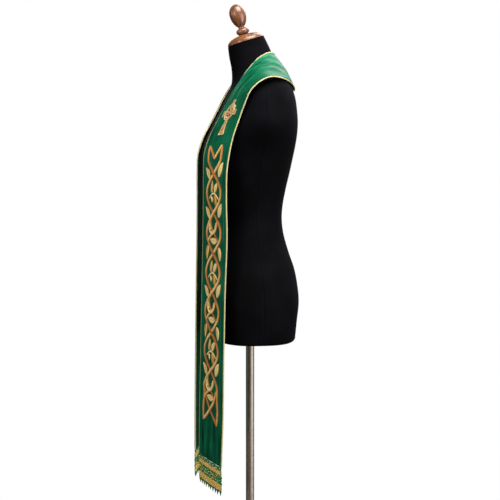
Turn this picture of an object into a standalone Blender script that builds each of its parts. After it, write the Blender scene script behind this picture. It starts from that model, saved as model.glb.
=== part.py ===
"""Clerical stole hung on a limbless dress form that stands on a pole and a round base.

Frame: metres, +Z up, origin on the floor under the pole's axis.  The form faces -Y,
the wearer's left is +X.  Every cloth piece is worked out from one surface, the show
side of the stole, which runs from the centre-back seam over the shoulder to the hem.
"""
import math
from collections import namedtuple

import bmesh
import bpy
import numpy as np
from mathutils import Vector

# ---------------------------------------------------------------- driving dimensions
SEAM_GAP = 0.0003            # air between neighbouring pieces

BASE_RADIUS = 0.175
BASE_EDGE = 0.006            # plate thickness at the rim
BASE_CROWN = 0.0035          # the plate is thicker at its middle
COLLAR_RADIUS = 0.0185
COLLAR_TOP = 0.040
POLE_RADIUS = 0.011
SOCKET_CLEARANCE = 0.0006    # the form turns freely on the pole
SOCKET_DEPTH = 0.150
POLE_SIDES = 48

FORM_BOTTOM = 0.720
FORM_CORNER = 0.009          # rounding of the form's lower edge
FORM_SEGMENTS = 36
FORM_ROWS_PER_RING = 2

NECK_TILT = math.radians(17.5)
CAP_RADIUS = 0.0475
CAP_DOME = 0.0195
KNOB_LENGTH = 0.058
KNOB_RADIUS = 0.021

FACE_THICKNESS = 0.0016      # satin with its stiffening
LINING_THICKNESS = 0.0010
CLOTH_RESTS_OFF = 0.0008     # the whole stole, a little off the jersey
PIPING_RADIUS = 0.0019
PIPING_SINK = -0.0004        # the cord's middle, from the show side
FRINGE_LENGTH = 0.074
FRINGE_THICKNESS = 0.0030
RIGHT_STANDS_OUT = 0.007     # the wearer's right panel stands further out at the bust
RIGHT_STANDS_OUT_HEM = 0.003
RIGHT_HANGS_LOWER = 0.012    # and its hem is lower
ROWS_DRAPED = 32             # rows from the centre back down to the straight fall
ROWS_HANGING = 11
STRAIGHT_FALL = 13           # the station from which the panel falls straight
DRIFT_STARTS = 7             # the stations between which the right panel moves out
DRIFT_FULL = 12
ROWS_ACROSS = 6

# Sections of the form, top to bottom.  front, side and back are each (y, z) of the
# ring where it crosses the middle of the front, the side and the middle of the back.
Ring = namedtuple("Ring", "half_width front side back fullness")
FORM_RINGS = [
    Ring(0.0475, (-0.0565, 1.4660), (-0.0108, 1.4805), (0.0350, 1.4950), 2.0),
    Ring(0.0475, (-0.0535, 1.4410), (-0.0030, 1.4580), (0.0465, 1.4730), 2.0),
    Ring(0.0520, (-0.0480, 1.4140), (0.0050, 1.4330), (0.0575, 1.4490), 2.0),
    Ring(0.0645, (-0.0460, 1.3880), (0.0110, 1.4120), (0.0690, 1.4240), 2.0),
    Ring(0.0970, (-0.0480, 1.3680), (0.0150, 1.3985), (0.0825, 1.4000), 2.0),
    Ring(0.1280, (-0.0540, 1.3510), (0.0160, 1.3840), (0.0950, 1.3780), 2.1),
    Ring(0.1550, (-0.0605, 1.3360), (0.0150, 1.3650), (0.1065, 1.3550), 2.05),
    Ring(0.1730, (-0.0680, 1.3210), (0.0140, 1.3380), (0.1135, 1.3320), 2.0),
    Ring(0.1825, (-0.0780, 1.3020), (0.0140, 1.3050), (0.1170, 1.3050), 2.0),
    Ring(0.1870, (-0.0915, 1.2770), (0.0130, 1.2740), (0.1190, 1.2760), 2.0),
    Ring(0.1800, (-0.1065, 1.2470), (0.0110, 1.2440), (0.1180, 1.2470), 2.0),
    Ring(0.1670, (-0.1200, 1.2150), (0.0080, 1.2150), (0.1140, 1.2150), 2.0),
    Ring(0.1560, (-0.1255, 1.1850), (0.0050, 1.1850), (0.1080, 1.1850), 2.0),
    Ring(0.1490, (-0.1235, 1.1500), (0.0020, 1.1500), (0.1005, 1.1500), 2.0),
    Ring(0.1390, (-0.1120, 1.1050), (-0.0020, 1.1050), (0.0895, 1.1050), 2.1),
    Ring(0.1310, (-0.1010, 1.0650), (-0.0040, 1.0650), (0.0815, 1.0650), 2.2),
    Ring(0.1260, (-0.0950, 1.0280), (-0.0050, 1.0280), (0.0795, 1.0280), 2.2),
    Ring(0.1290, (-0.0960, 0.9900), (-0.0030, 0.9900), (0.0840, 0.9900), 2.2),
    Ring(0.1420, (-0.1020, 0.9450), (0.0010, 0.9450), (0.0965, 0.9450), 2.2),
    Ring(0.1570, (-0.1080, 0.9000), (0.0050, 0.9000), (0.1110, 0.9000), 2.3),
    Ring(0.1670, (-0.1100, 0.8550), (0.0070, 0.8550), (0.1185, 0.8550), 2.4),
    Ring(0.1700, (-0.1085, 0.8150), (0.0080, 0.8150), (0.1205, 0.8150), 2.5),
    Ring(0.1680, (-0.1055, 0.7700), (0.0080, 0.7700), (0.1150, 0.7700), 2.6),
    Ring(0.1635, (-0.1020, 0.7290), (0.0070, 0.7290), (0.1105, 0.7290), 2.7),
]

# The show side of one half of the stole, from the centre back to the hem.  inner is
# the neck edge, outer the shoulder edge, bow how far the middle stands off their chord.
Station = namedtuple("Station", "place inner outer bow")
STOLE_STATIONS = [
    Station("centre back",    (0.0000, 0.0603, 1.4525), (0.0000, 0.1150, 1.3590), 0.0040),
    Station("nape",           (0.0245, 0.0530, 1.4515), (0.0370, 0.1075, 1.3660), 0.0050),
    Station("back collar",    (0.0450, 0.0355, 1.4470), (0.0790, 0.0912, 1.3742), 0.0065),
    Station("neck side back", (0.0575, 0.0120, 1.4335), (0.1160, 0.0698, 1.3802), 0.0080),
    Station("neck side",      (0.0635, -0.0060, 1.4160), (0.1430, 0.0470, 1.3833), 0.0070),
    Station("shoulder top",   (0.0700, -0.0205, 1.3997), (0.1610, 0.0237, 1.3825), 0.0060),
    Station("shoulder front", (0.0705, -0.0365, 1.3760), (0.1680, -0.0006, 1.3720), 0.0050),
    Station("collar bone",    (0.0665, -0.0547, 1.3487), (0.1690, -0.0240, 1.3510), 0.0035),
    Station("upper chest",    (0.0600, -0.0750, 1.3100), (0.1640, -0.0395, 1.3170), 0.0032),
    Station("chest",          (0.0540, -0.0955, 1.2690), (0.1590, -0.0525, 1.2800), 0.0025),
    Station("bust top",       (0.0495, -0.1135, 1.2300), (0.1585, -0.0675, 1.2370), 0.0025),
    Station("bust",           (0.0465, -0.1236, 1.1930), (0.1610, -0.0765, 1.2000), 0.0025),
    Station("under bust",     (0.0450, -0.1252, 1.1550), (0.1640, -0.0830, 1.1600), 0.0020),
    Station("midriff",        (0.0450, -0.1258, 1.0900), (0.1660, -0.0853, 1.0930), 0.0020),
    Station("waist",          (0.0450, -0.1270, 1.0000), (0.1690, -0.0845, 1.0010), 0.0020),
    Station("hip",            (0.0450, -0.1305, 0.8500), (0.1690, -0.0895, 0.8500), 0.0020),
    Station("thigh",          (0.0430, -0.1340, 0.6900), (0.1670, -0.0925, 0.6900), 0.0020),
    Station("knee",           (0.0410, -0.1370, 0.5500), (0.1660, -0.0945, 0.5480), 0.0020),
    Station("hem",            (0.0400, -0.1385, 0.4240), (0.1640, -0.0985, 0.4190), 0.0020),
]

# ---------------------------------------------------------------- materials
Finish = namedtuple("Finish", "colour roughness metallic")
FINISHES = {
    "green_satin":   Finish((0.020, 0.190, 0.075), 0.38, 0.0),
    "dark_lining":   Finish((0.004, 0.045, 0.022), 0.55, 0.0),
    "gold_cord":     Finish((0.640, 0.500, 0.240), 0.45, 0.0),
    "braid_fringe":  Finish((0.480, 0.300, 0.080), 0.60, 0.0),
    "black_jersey":  Finish((0.010, 0.010, 0.013), 0.85, 0.0),
    "turned_wood":   Finish((0.240, 0.090, 0.040), 0.30, 0.0),
    "satin_steel":   Finish((0.560, 0.540, 0.520), 0.30, 1.0),
}


def make_material(name):
    """A Principled material with one of the finishes above."""
    material = bpy.data.materials.new(name)
    material.use_nodes = True
    shader = material.node_tree.nodes["Principled BSDF"]
    finish = FINISHES[name]
    shader.inputs["Base Color"].default_value = (*finish.colour, 1.0)
    shader.inputs["Roughness"].default_value = finish.roughness
    shader.inputs["Metallic"].default_value = finish.metallic
    material.diffuse_color = (*finish.colour, 1.0)
    return material


# ---------------------------------------------------------------- small helpers
def clear_scene():
    for item in list(bpy.data.objects):
        bpy.data.objects.remove(item, do_unlink=True)


def new_collection(name):
    collection = bpy.data.collections.new(name)
    bpy.context.scene.collection.children.link(collection)
    return collection


def add_mesh(name, bm, collection, material=None):
    """Store a bmesh as a named, smooth-shaded object."""
    bmesh.ops.recalc_face_normals(bm, faces=bm.faces)
    mesh = bpy.data.meshes.new(name)
    bm.to_mesh(mesh)
    bm.free()
    mesh.shade_smooth()
    mesh.set_sharp_from_angle(angle=math.radians(40))
    item = bpy.data.objects.new(name, mesh)
    if material:
        mesh.materials.append(material)
    collection.objects.link(item)
    return item


def into_collection(item, collection):
    """Move an object that an operator made into its own collection."""
    for owner in list(item.users_collection):
        owner.objects.unlink(item)
    collection.objects.link(item)


def through(values, knots, at):
    """A smooth curve through rows of values placed at knots, read at the places in at."""
    values = np.asarray(values, float)
    knots = np.asarray(knots, float)
    slopes = np.gradient(values, knots, axis=0)
    span = np.clip(np.searchsorted(knots, at, side="right") - 1, 0, len(knots) - 2)
    length = knots[span + 1] - knots[span]
    u = ((at - knots[span]) / length)[:, None]
    length = length[:, None]
    return ((2 * u**3 - 3 * u**2 + 1) * values[span] + (u**3 - 2 * u**2 + u) * length * slopes[span]
            + (3 * u**2 - 2 * u**3) * values[span + 1] + (u**3 - u**2) * length * slopes[span + 1])


def unit(vectors):
    return vectors / np.linalg.norm(vectors, axis=-1, keepdims=True)


def closed_tube_of_rings(rings):
    """A closed skin over a list of rings of points, its two ends shut with one face each."""
    bm = bmesh.new()
    loops = [[bm.verts.new(point) for point in ring] for ring in rings]
    count = len(loops[0])
    for upper, lower in zip(loops, loops[1:]):
        for i in range(count):
            j = (i + 1) % count
            bm.faces.new((upper[i], lower[i], lower[j], upper[j]))
    bm.faces.new(loops[0])
    bm.faces.new(list(reversed(loops[-1])))
    return bm


# ---------------------------------------------------------------- the dress form
def ring_points(row):
    """Points round one section: a full oval that may dip at the front and rise at the back."""
    half_width, front_y, front_z, side_y, side_z, back_y, back_z, fullness = row
    middle = (front_z + back_z) / 2
    tilt = (back_z - front_z) / 2
    crown = side_z - middle
    points = []
    for k in range(FORM_SEGMENTS):
        angle = 2 * math.pi * k / FORM_SEGMENTS
        across = math.copysign(abs(math.cos(angle)) ** (2 / fullness), math.cos(angle))
        depth = math.copysign(abs(math.sin(angle)) ** (2 / fullness), math.sin(angle))
        reach = (back_y if depth > 0 else front_y) - side_y
        points.append((half_width * across, side_y + reach * abs(depth),
                       middle + tilt * depth + crown * (1 - depth * depth)))
    return points


def form_sections():
    """The table's rings with smooth ones between them, then the rounded lower edge."""
    table = [(r.half_width, *r.front, *r.side, *r.back, r.fullness) for r in FORM_RINGS]
    knots = np.arange(len(table), dtype=float)
    places = np.linspace(0, len(table) - 1, (len(table) - 1) * FORM_ROWS_PER_RING + 1)
    rings = [ring_points(row) for row in through(table, knots, places)]
    last = np.array(rings[-1])
    centre = np.array([0.0, FORM_RINGS[-1].side[0]])
    outward = unit(last[:, :2] - centre)
    for turn in (0.34, 0.67, 1.0):
        inset = FORM_CORNER * (1 - math.cos(turn * math.pi / 2))
        flat = last[:, :2] - outward * inset
        height = FORM_RINGS[-1].side[1] - FORM_CORNER * math.sin(turn * math.pi / 2)
        rings.append([(x, y, height) for x, y in flat])
    return rings


def build_form(parts, cutters, material):
    """The jersey-covered body, with a blind hole from below that the pole fits."""
    body = add_mesh("form_body", closed_tube_of_rings(form_sections()), parts, material)
    below = 0.02                 # the cutter starts this far under the form
    bpy.ops.mesh.primitive_cylinder_add(
        vertices=POLE_SIDES, radius=POLE_RADIUS + SOCKET_CLEARANCE, depth=SOCKET_DEPTH + below,
        location=(0, 0, FORM_BOTTOM + (SOCKET_DEPTH - below) / 2))
    cutter = bpy.context.object
    cutter.name = "socket_cutter"
    into_collection(cutter, cutters)
    cutter.hide_render = True
    cutter.display_type = "WIRE"
    cut = body.modifiers.new("pole_socket", "BOOLEAN")
    cut.operation = "DIFFERENCE"
    cut.solver = "EXACT"
    cut.object = cutter
    return body


# ---------------------------------------------------------------- turned pieces
def arc(centre, radii, start, end, steps):
    """Points on an ellipse in the profile plane (radius, height); angles in degrees."""
    points = []
    for k in range(steps + 1):
        angle = math.radians(start + (end - start) * k / steps)
        points.append((centre[0] + radii[0] * math.cos(angle), centre[1] + radii[1] * math.sin(angle)))
    return points


def turned(name, profile, collection, material, segments=32):
    """Spin a profile of (radius, height), outer side running top to bottom."""
    bm = bmesh.new()
    verts = [bm.verts.new((radius, 0.0, height)) for radius, height in profile]
    for a, b in zip(verts, verts[1:]):
        bm.edges.new((a, b))
    mesh = bpy.data.meshes.new(name)
    bm.to_mesh(mesh)
    bm.free()
    item = bpy.data.objects.new(name, mesh)
    mesh.materials.append(material)
    collection.objects.link(item)
    spin = item.modifiers.new("turning", "SCREW")
    spin.axis = "Z"
    spin.steps = segments
    spin.render_steps = segments
    spin.use_merge_vertices = True
    spin.merge_threshold = 0.00001
    spin.use_smooth_shade = True
    return item


def build_stand(parts, material):
    """A heavy round plate, the collar fixed on it, and the pole that stands in the collar."""
    half_edge = BASE_EDGE / 2
    seat = BASE_EDGE + BASE_CROWN
    plate = [(0.0, seat), (COLLAR_RADIUS + 0.012, seat)]
    plate += arc((BASE_RADIUS - half_edge, half_edge), (half_edge, half_edge), 90, -90, 6)
    plate += [(0.0, 0.0)]
    turned("base", plate, parts, material, segments=40)

    hole = POLE_RADIUS + SEAM_GAP
    foot = seat + SEAM_GAP
    edge = 0.0015
    collar = [(hole, COLLAR_TOP)]
    collar += arc((COLLAR_RADIUS - edge, COLLAR_TOP - edge), (edge, edge), 90, 0, 3)
    collar += [(COLLAR_RADIUS, foot + 0.004), (COLLAR_RADIUS + 0.005, foot), (hole, foot), (hole, COLLAR_TOP)]
    turned("collar", collar, parts, material)

    top = FORM_BOTTOM + SOCKET_DEPTH - SEAM_GAP
    bpy.ops.mesh.primitive_cylinder_add(vertices=POLE_SIDES, radius=POLE_RADIUS, depth=top - foot,
                                        location=(0, 0, (top + foot) / 2))
    pole = bpy.context.object
    pole.name = "pole"
    pole.data.materials.append(material)
    into_collection(pole, parts)


def build_neck_cap(parts, material):
    """The turned cap on the sloping neck and the finial that stands on it."""
    top = FORM_RINGS[0]
    centre = Vector((0.0, top.side[0], top.side[1]))
    mount = bpy.data.objects.new("neck_axis", None)
    mount.location = centre
    mount.rotation_euler = (NECK_TILT, 0, 0)
    parts.objects.link(mount)

    low = SEAM_GAP + 0.0002
    lip = 0.0025
    crown = 14                       # degrees; inside it the dome is flat for the finial
    dome = [(0.0, lip + (CAP_DOME - lip) * math.cos(math.radians(crown)))]
    dome += arc((0.0, lip), (CAP_RADIUS, CAP_DOME - lip), 90 - crown, 6, 8)
    dome += arc((CAP_RADIUS, (lip + low) / 2), (0.0008, (lip - low) / 2), 90, -90, 4)
    dome += [(0.0, low)]
    cap = turned("neck_cap", dome, parts, material)
    cap.parent = mount

    foot = dome[0][1] + SEAM_GAP
    ring_height = 0.015
    ring_radius = 0.017
    stem_radius = 0.0085
    knob_low = foot + ring_height + 0.005
    knob_mid = knob_low + KNOB_LENGTH * 0.56
    knob_top = knob_low + KNOB_LENGTH
    profile = [(0.0, knob_top)] + arc((0, knob_mid), (KNOB_RADIUS, knob_top - knob_mid), 84, 0, 7)
    lower = math.degrees(math.acos(stem_radius * 0.95 / KNOB_RADIUS))
    profile += arc((0, knob_mid), (KNOB_RADIUS, knob_mid - knob_low + 0.0025), 0, -lower, 6)[1:]
    profile += [(stem_radius, foot + ring_height + 0.0015)]
    profile += arc((ring_radius - 0.0055, foot + ring_height * 0.52),
                   (0.0055, ring_height * 0.46), 75, -75, 6)
    profile += [(0.0125, foot + 0.0004), (0.0120, foot), (0.0, foot)]
    finial = turned("finial", profile, parts, material, segments=24)
    finial.parent = mount


# ---------------------------------------------------------------- the stole's surface
def station_knots():
    """Distance of each station from the centre back, along the middle of the panel."""
    middles = [(np.array(s.inner) + np.array(s.outer)) / 2 for s in STOLE_STATIONS]
    steps = [0.0] + [float(np.linalg.norm(b - a)) for a, b in zip(middles, middles[1:])]
    return np.cumsum(steps)


class StoleHalf:
    """One half of the stole: a grid of points on its show side, and their normals."""

    def __init__(self, side):
        self.side = side                                   # +1 wearer's left, -1 right
        knots = station_knots()
        self.length = knots[-1]
        straight = knots[STRAIGHT_FALL]
        # rows close together down to where the panel falls straight, wider apart below
        self.along = np.concatenate([np.linspace(0, straight, ROWS_DRAPED)[:-1],
                                     np.linspace(straight, self.length, ROWS_HANGING)])
        table = [(*s.inner, *s.outer, s.bow) for s in STOLE_STATIONS]
        rows = through(table, knots, self.along)
        inner, outer, bow = rows[:, 0:3], rows[:, 3:6], rows[:, 6]
        if side < 0:
            begin, full = knots[DRIFT_STARTS], knots[DRIFT_FULL]
            onto_bust = np.clip((self.along - begin) / (full - begin), 0, 1)
            onto_bust = onto_bust * onto_bust * (3 - 2 * onto_bust)
            fall = np.clip((self.along - full) / (knots[-1] - full), 0, 1)
            drift = onto_bust * (RIGHT_STANDS_OUT + (RIGHT_STANDS_OUT_HEM - RIGHT_STANDS_OUT) * fall)
            inner[:, 1] -= drift
            outer[:, 1] -= drift
            inner[:, 2] -= RIGHT_HANGS_LOWER * fall
            outer[:, 2] -= RIGHT_HANGS_LOWER * fall
        run = np.gradient(inner + outer, self.along, axis=0)
        lift = unit(np.cross(run, outer - inner))
        across = np.linspace(0, 1, ROWS_ACROSS + 1)
        swell = 4 * across * (1 - across)
        self.points = (inner[:, None] * (1 - across)[None, :, None] + outer[:, None] * across[None, :, None]
                       + lift[:, None] * (bow[:, None] * swell[None, :])[..., None])
        d_along = np.gradient(self.points, self.along, axis=0)
        d_across = np.gradient(self.points, across, axis=1)
        self.normals = unit(np.cross(d_along, d_across))
        self.points = self.points + self.normals * CLOTH_RESTS_OFF
        self.edge_out = unit(d_across)

    def layer(self, lift):
        """The grid moved out along its normals, on this half's side, clear of the other half."""
        points = self.points + self.normals * lift
        points[0, :, 0] = SEAM_GAP / 2
        points[:, :, 0] = np.maximum(points[:, :, 0], SEAM_GAP / 2)
        return self.mirrored(points)

    def edge(self, column, out, lift):
        """A line along one edge, moved out of the panel sideways and along its normal."""
        sign = -1 if column == 0 else 1
        line = (self.points[:, column] + sign * out * self.edge_out[:, column]
                + lift * self.normals[:, column])
        return self.mirrored(line)

    def mirrored(self, points):
        points = points.copy()
        points[..., 0] *= self.side
        return points


def shell_between(upper, lower):
    """A closed wall between two grids of points of the same size."""
    bm = bmesh.new()
    rows, columns = upper.shape[:2]
    top = [[bm.verts.new(p) for p in row] for row in upper]
    low = [[bm.verts.new(p) for p in row] for row in lower]
    for i in range(rows - 1):
        for j in range(columns - 1):
            bm.faces.new((top[i][j], top[i + 1][j], top[i + 1][j + 1], top[i][j + 1]))
            bm.faces.new((low[i][j], low[i][j + 1], low[i + 1][j + 1], low[i + 1][j]))
        for j in (0, columns - 1):
            bm.faces.new((top[i][j], low[i][j], low[i + 1][j], top[i + 1][j]))
    for j in range(columns - 1):
        for i in (0, rows - 1):
            bm.faces.new((top[i][j], top[i][j + 1], low[i][j + 1], low[i][j]))
    return bm


def build_panel(half, label, parts, satin, lining):
    """The satin face with its stiffening, and the lining under it."""
    add_mesh("stole_" + label, shell_between(half.layer(0.0), half.layer(-FACE_THICKNESS)),
             parts, satin)
    top = FACE_THICKNESS + SEAM_GAP
    add_mesh("lining_" + label, shell_between(half.layer(-top), half.layer(-top - LINING_THICKNESS)),
             parts, lining)


def build_piping(half, label, parts, material):
    """A cord along each edge, 0.3 mm off the cloth, in line with the satin face."""
    for name, column in (("inner", 0), ("outer", ROWS_ACROSS)):
        line = half.edge(column, PIPING_RADIUS + SEAM_GAP, PIPING_SINK)
        line[0, 0] = half.side * SEAM_GAP * 2
        curve = bpy.data.curves.new("piping_%s_%s" % (name, label), "CURVE")
        curve.dimensions = "3D"
        curve.bevel_depth = PIPING_RADIUS
        curve.bevel_resolution = 1
        curve.use_fill_caps = True
        spline = curve.splines.new("POLY")
        spline.points.add(len(line) - 1)
        for point, place in zip(spline.points, line):
            point.co = (*place, 1.0)
        curve.materials.append(material)
        parts.objects.link(bpy.data.objects.new(curve.name, curve))


def build_fringe(half, label, parts, material):
    """The woven braid and its tassels below the hem, as one plain wall of their reach."""
    hem = half.layer(-FACE_THICKNESS / 2)[-1]
    facing = unit(half.mirrored(half.normals)[-1] * (1, 1, 0))
    drops = np.linspace(0, FRINGE_LENGTH, 4)
    middle = hem[None] - (drops[:, None] + SEAM_GAP)[..., None] * np.array([0.0, 0.0, 1.0])
    wall = facing[None] * FRINGE_THICKNESS / 2
    add_mesh("fringe_" + label, shell_between(middle + wall, middle - wall), parts, material)


# ---------------------------------------------------------------- assembly
def main():
    clear_scene()
    parts = new_collection("stole_on_dress_form")
    cutters = new_collection("cutters")
    paint = {name: make_material(name) for name in FINISHES}
    build_stand(parts, paint["satin_steel"])
    build_form(parts, cutters, paint["black_jersey"])
    build_neck_cap(parts, paint["turned_wood"])
    for label, side in (("left", 1), ("right", -1)):
        half = StoleHalf(side)
        build_panel(half, label, parts, paint["green_satin"], paint["dark_lining"])
        build_piping(half, label, parts, paint["gold_cord"])
        build_fringe(half, label, parts, paint["braid_fringe"])


main()
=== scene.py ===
"""Finishes and sewn detail for a clerical stole on a limbless dress form.

Metres, +Z up, origin on the floor under the pole.  The form faces -Y and the wearer's
left is +X.  Every cloth piece is worked out from one surface, the show side of the
stole, measured by "down" (from the centre-back seam to the hem, along the middle of
the panel) and "over" (from the panel's middle, + towards the shoulder edge).
"""

import math
from collections import namedtuple

import bpy
import numpy as np
from mathutils import Matrix, Vector


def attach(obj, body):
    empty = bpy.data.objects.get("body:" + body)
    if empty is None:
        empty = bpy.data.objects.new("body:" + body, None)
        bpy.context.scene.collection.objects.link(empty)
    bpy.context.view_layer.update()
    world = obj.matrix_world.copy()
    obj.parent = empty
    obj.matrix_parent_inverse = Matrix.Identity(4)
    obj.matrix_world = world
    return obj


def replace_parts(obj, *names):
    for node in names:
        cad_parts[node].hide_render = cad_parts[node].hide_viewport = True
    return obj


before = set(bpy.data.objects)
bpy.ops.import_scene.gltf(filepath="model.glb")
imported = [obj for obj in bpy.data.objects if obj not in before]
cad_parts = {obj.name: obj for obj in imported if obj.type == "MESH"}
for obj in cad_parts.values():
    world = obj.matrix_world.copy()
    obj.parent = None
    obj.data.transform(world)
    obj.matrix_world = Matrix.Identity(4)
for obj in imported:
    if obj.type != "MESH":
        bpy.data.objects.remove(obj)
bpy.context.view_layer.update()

# ---------------------------------------------------------------- sizes, in metres
MM = 0.001
SEAM_GAP = 0.0003
FACE_THICKNESS = 0.0016          # satin with its stiffening
LINING_THICKNESS = 0.0010
CLOTH_RESTS_OFF = 0.0008
PIPING_RADIUS = 0.0019
PIPING_SINK = -0.0004
PIPING_PITCH = 0.0105            # one turn of the three-ply cord
RIGHT_STANDS_OUT = 0.007
RIGHT_STANDS_OUT_HEM = 0.003
RIGHT_HANGS_LOWER = 0.012
DRIFT_STARTS = 7                 # the station, collar bone, where the right half starts to stand out
DRIFT_FULL = 12                  # the station, under bust, from which it stands out in full
FRINGE_LENGTH = 0.074

BASE_RADIUS = 0.175
BASE_EDGE = 0.006
BASE_CROWN = 0.0035
COLLAR_RADIUS = 0.0185
COLLAR_TOP = 0.040
POLE_RADIUS = 0.011
SOCKET_CLEARANCE = 0.0006
SOCKET_DEPTH = 0.150
SOCKET_SHOWS = 0.060             # how far up the socket its lining is drawn
FORM_BOTTOM = 0.720
FORM_CORNER = 0.009
NECK_TILT = math.radians(17.5)
CAP_RADIUS = 0.0475
CAP_DOME = 0.0195
KNOB_LENGTH = 0.058
KNOB_RADIUS = 0.021

Ring = namedtuple("Ring", "half_width front side back fullness")
FORM_RINGS = [
    Ring(0.0475, (-0.0565, 1.4660), (-0.0108, 1.4805), (0.0350, 1.4950), 2.0),
    Ring(0.0475, (-0.0535, 1.4410), (-0.0030, 1.4580), (0.0465, 1.4730), 2.0),
    Ring(0.0520, (-0.0480, 1.4140), (0.0050, 1.4330), (0.0575, 1.4490), 2.0),
    Ring(0.0645, (-0.0460, 1.3880), (0.0110, 1.4120), (0.0690, 1.4240), 2.0),
    Ring(0.0970, (-0.0480, 1.3680), (0.0150, 1.3985), (0.0825, 1.4000), 2.0),
    Ring(0.1280, (-0.0540, 1.3510), (0.0160, 1.3840), (0.0950, 1.3780), 2.1),
    Ring(0.1550, (-0.0605, 1.3360), (0.0150, 1.3650), (0.1065, 1.3550), 2.05),
    Ring(0.1730, (-0.0680, 1.3210), (0.0140, 1.3380), (0.1135, 1.3320), 2.0),
    Ring(0.1825, (-0.0780, 1.3020), (0.0140, 1.3050), (0.1170, 1.3050), 2.0),
    Ring(0.1870, (-0.0915, 1.2770), (0.0130, 1.2740), (0.1190, 1.2760), 2.0),
    Ring(0.1800, (-0.1065, 1.2470), (0.0110, 1.2440), (0.1180, 1.2470), 2.0),
    Ring(0.1670, (-0.1200, 1.2150), (0.0080, 1.2150), (0.1140, 1.2150), 2.0),
    Ring(0.1560, (-0.1255, 1.1850), (0.0050, 1.1850), (0.1080, 1.1850), 2.0),
    Ring(0.1490, (-0.1235, 1.1500), (0.0020, 1.1500), (0.1005, 1.1500), 2.0),
    Ring(0.1390, (-0.1120, 1.1050), (-0.0020, 1.1050), (0.0895, 1.1050), 2.1),
    Ring(0.1310, (-0.1010, 1.0650), (-0.0040, 1.0650), (0.0815, 1.0650), 2.2),
    Ring(0.1260, (-0.0950, 1.0280), (-0.0050, 1.0280), (0.0795, 1.0280), 2.2),
    Ring(0.1290, (-0.0960, 0.9900), (-0.0030, 0.9900), (0.0840, 0.9900), 2.2),
    Ring(0.1420, (-0.1020, 0.9450), (0.0010, 0.9450), (0.0965, 0.9450), 2.2),
    Ring(0.1570, (-0.1080, 0.9000), (0.0050, 0.9000), (0.1110, 0.9000), 2.3),
    Ring(0.1670, (-0.1100, 0.8550), (0.0070, 0.8550), (0.1185, 0.8550), 2.4),
    Ring(0.1700, (-0.1085, 0.8150), (0.0080, 0.8150), (0.1205, 0.8150), 2.5),
    Ring(0.1680, (-0.1055, 0.7700), (0.0080, 0.7700), (0.1150, 0.7700), 2.6),
    Ring(0.1635, (-0.1020, 0.7290), (0.0070, 0.7290), (0.1105, 0.7290), 2.7),
]

# inner is the neck edge, outer the shoulder edge, bow how far the middle stands off
# their chord.
Station = namedtuple("Station", "place inner outer bow")
STOLE_STATIONS = [
    Station("centre back",    (0.0000, 0.0603, 1.4525), (0.0000, 0.1150, 1.3590), 0.0040),
    Station("nape",           (0.0245, 0.0530, 1.4515), (0.0370, 0.1075, 1.3660), 0.0050),
    Station("back collar",    (0.0450, 0.0355, 1.4470), (0.0790, 0.0912, 1.3742), 0.0065),
    Station("neck side back", (0.0575, 0.0120, 1.4335), (0.1160, 0.0698, 1.3802), 0.0080),
    Station("neck side",      (0.0635, -0.0060, 1.4160), (0.1430, 0.0470, 1.3833), 0.0070),
    Station("shoulder top",   (0.0700, -0.0205, 1.3997), (0.1610, 0.0237, 1.3825), 0.0060),
    Station("shoulder front", (0.0705, -0.0365, 1.3760), (0.1680, -0.0006, 1.3720), 0.0050),
    Station("collar bone",    (0.0665, -0.0547, 1.3487), (0.1690, -0.0240, 1.3510), 0.0035),
    Station("upper chest",    (0.0600, -0.0750, 1.3100), (0.1640, -0.0395, 1.3170), 0.0032),
    Station("chest",          (0.0540, -0.0955, 1.2690), (0.1590, -0.0525, 1.2800), 0.0025),
    Station("bust top",       (0.0495, -0.1135, 1.2300), (0.1585, -0.0675, 1.2370), 0.0025),
    Station("bust",           (0.0465, -0.1236, 1.1930), (0.1610, -0.0765, 1.2000), 0.0025),
    Station("under bust",     (0.0450, -0.1252, 1.1550), (0.1640, -0.0830, 1.1600), 0.0020),
    Station("midriff",        (0.0450, -0.1258, 1.0900), (0.1660, -0.0853, 1.0930), 0.0020),
    Station("waist",          (0.0450, -0.1270, 1.0000), (0.1690, -0.0845, 1.0010), 0.0020),
    Station("hip",            (0.0450, -0.1305, 0.8500), (0.1690, -0.0895, 0.8500), 0.0020),
    Station("thigh",          (0.0430, -0.1340, 0.6900), (0.1670, -0.0925, 0.6900), 0.0020),
    Station("knee",           (0.0410, -0.1370, 0.5500), (0.1660, -0.0945, 0.5480), 0.0020),
    Station("hem",            (0.0400, -0.1385, 0.4240), (0.1640, -0.0985, 0.4190), 0.0020),
]

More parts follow.
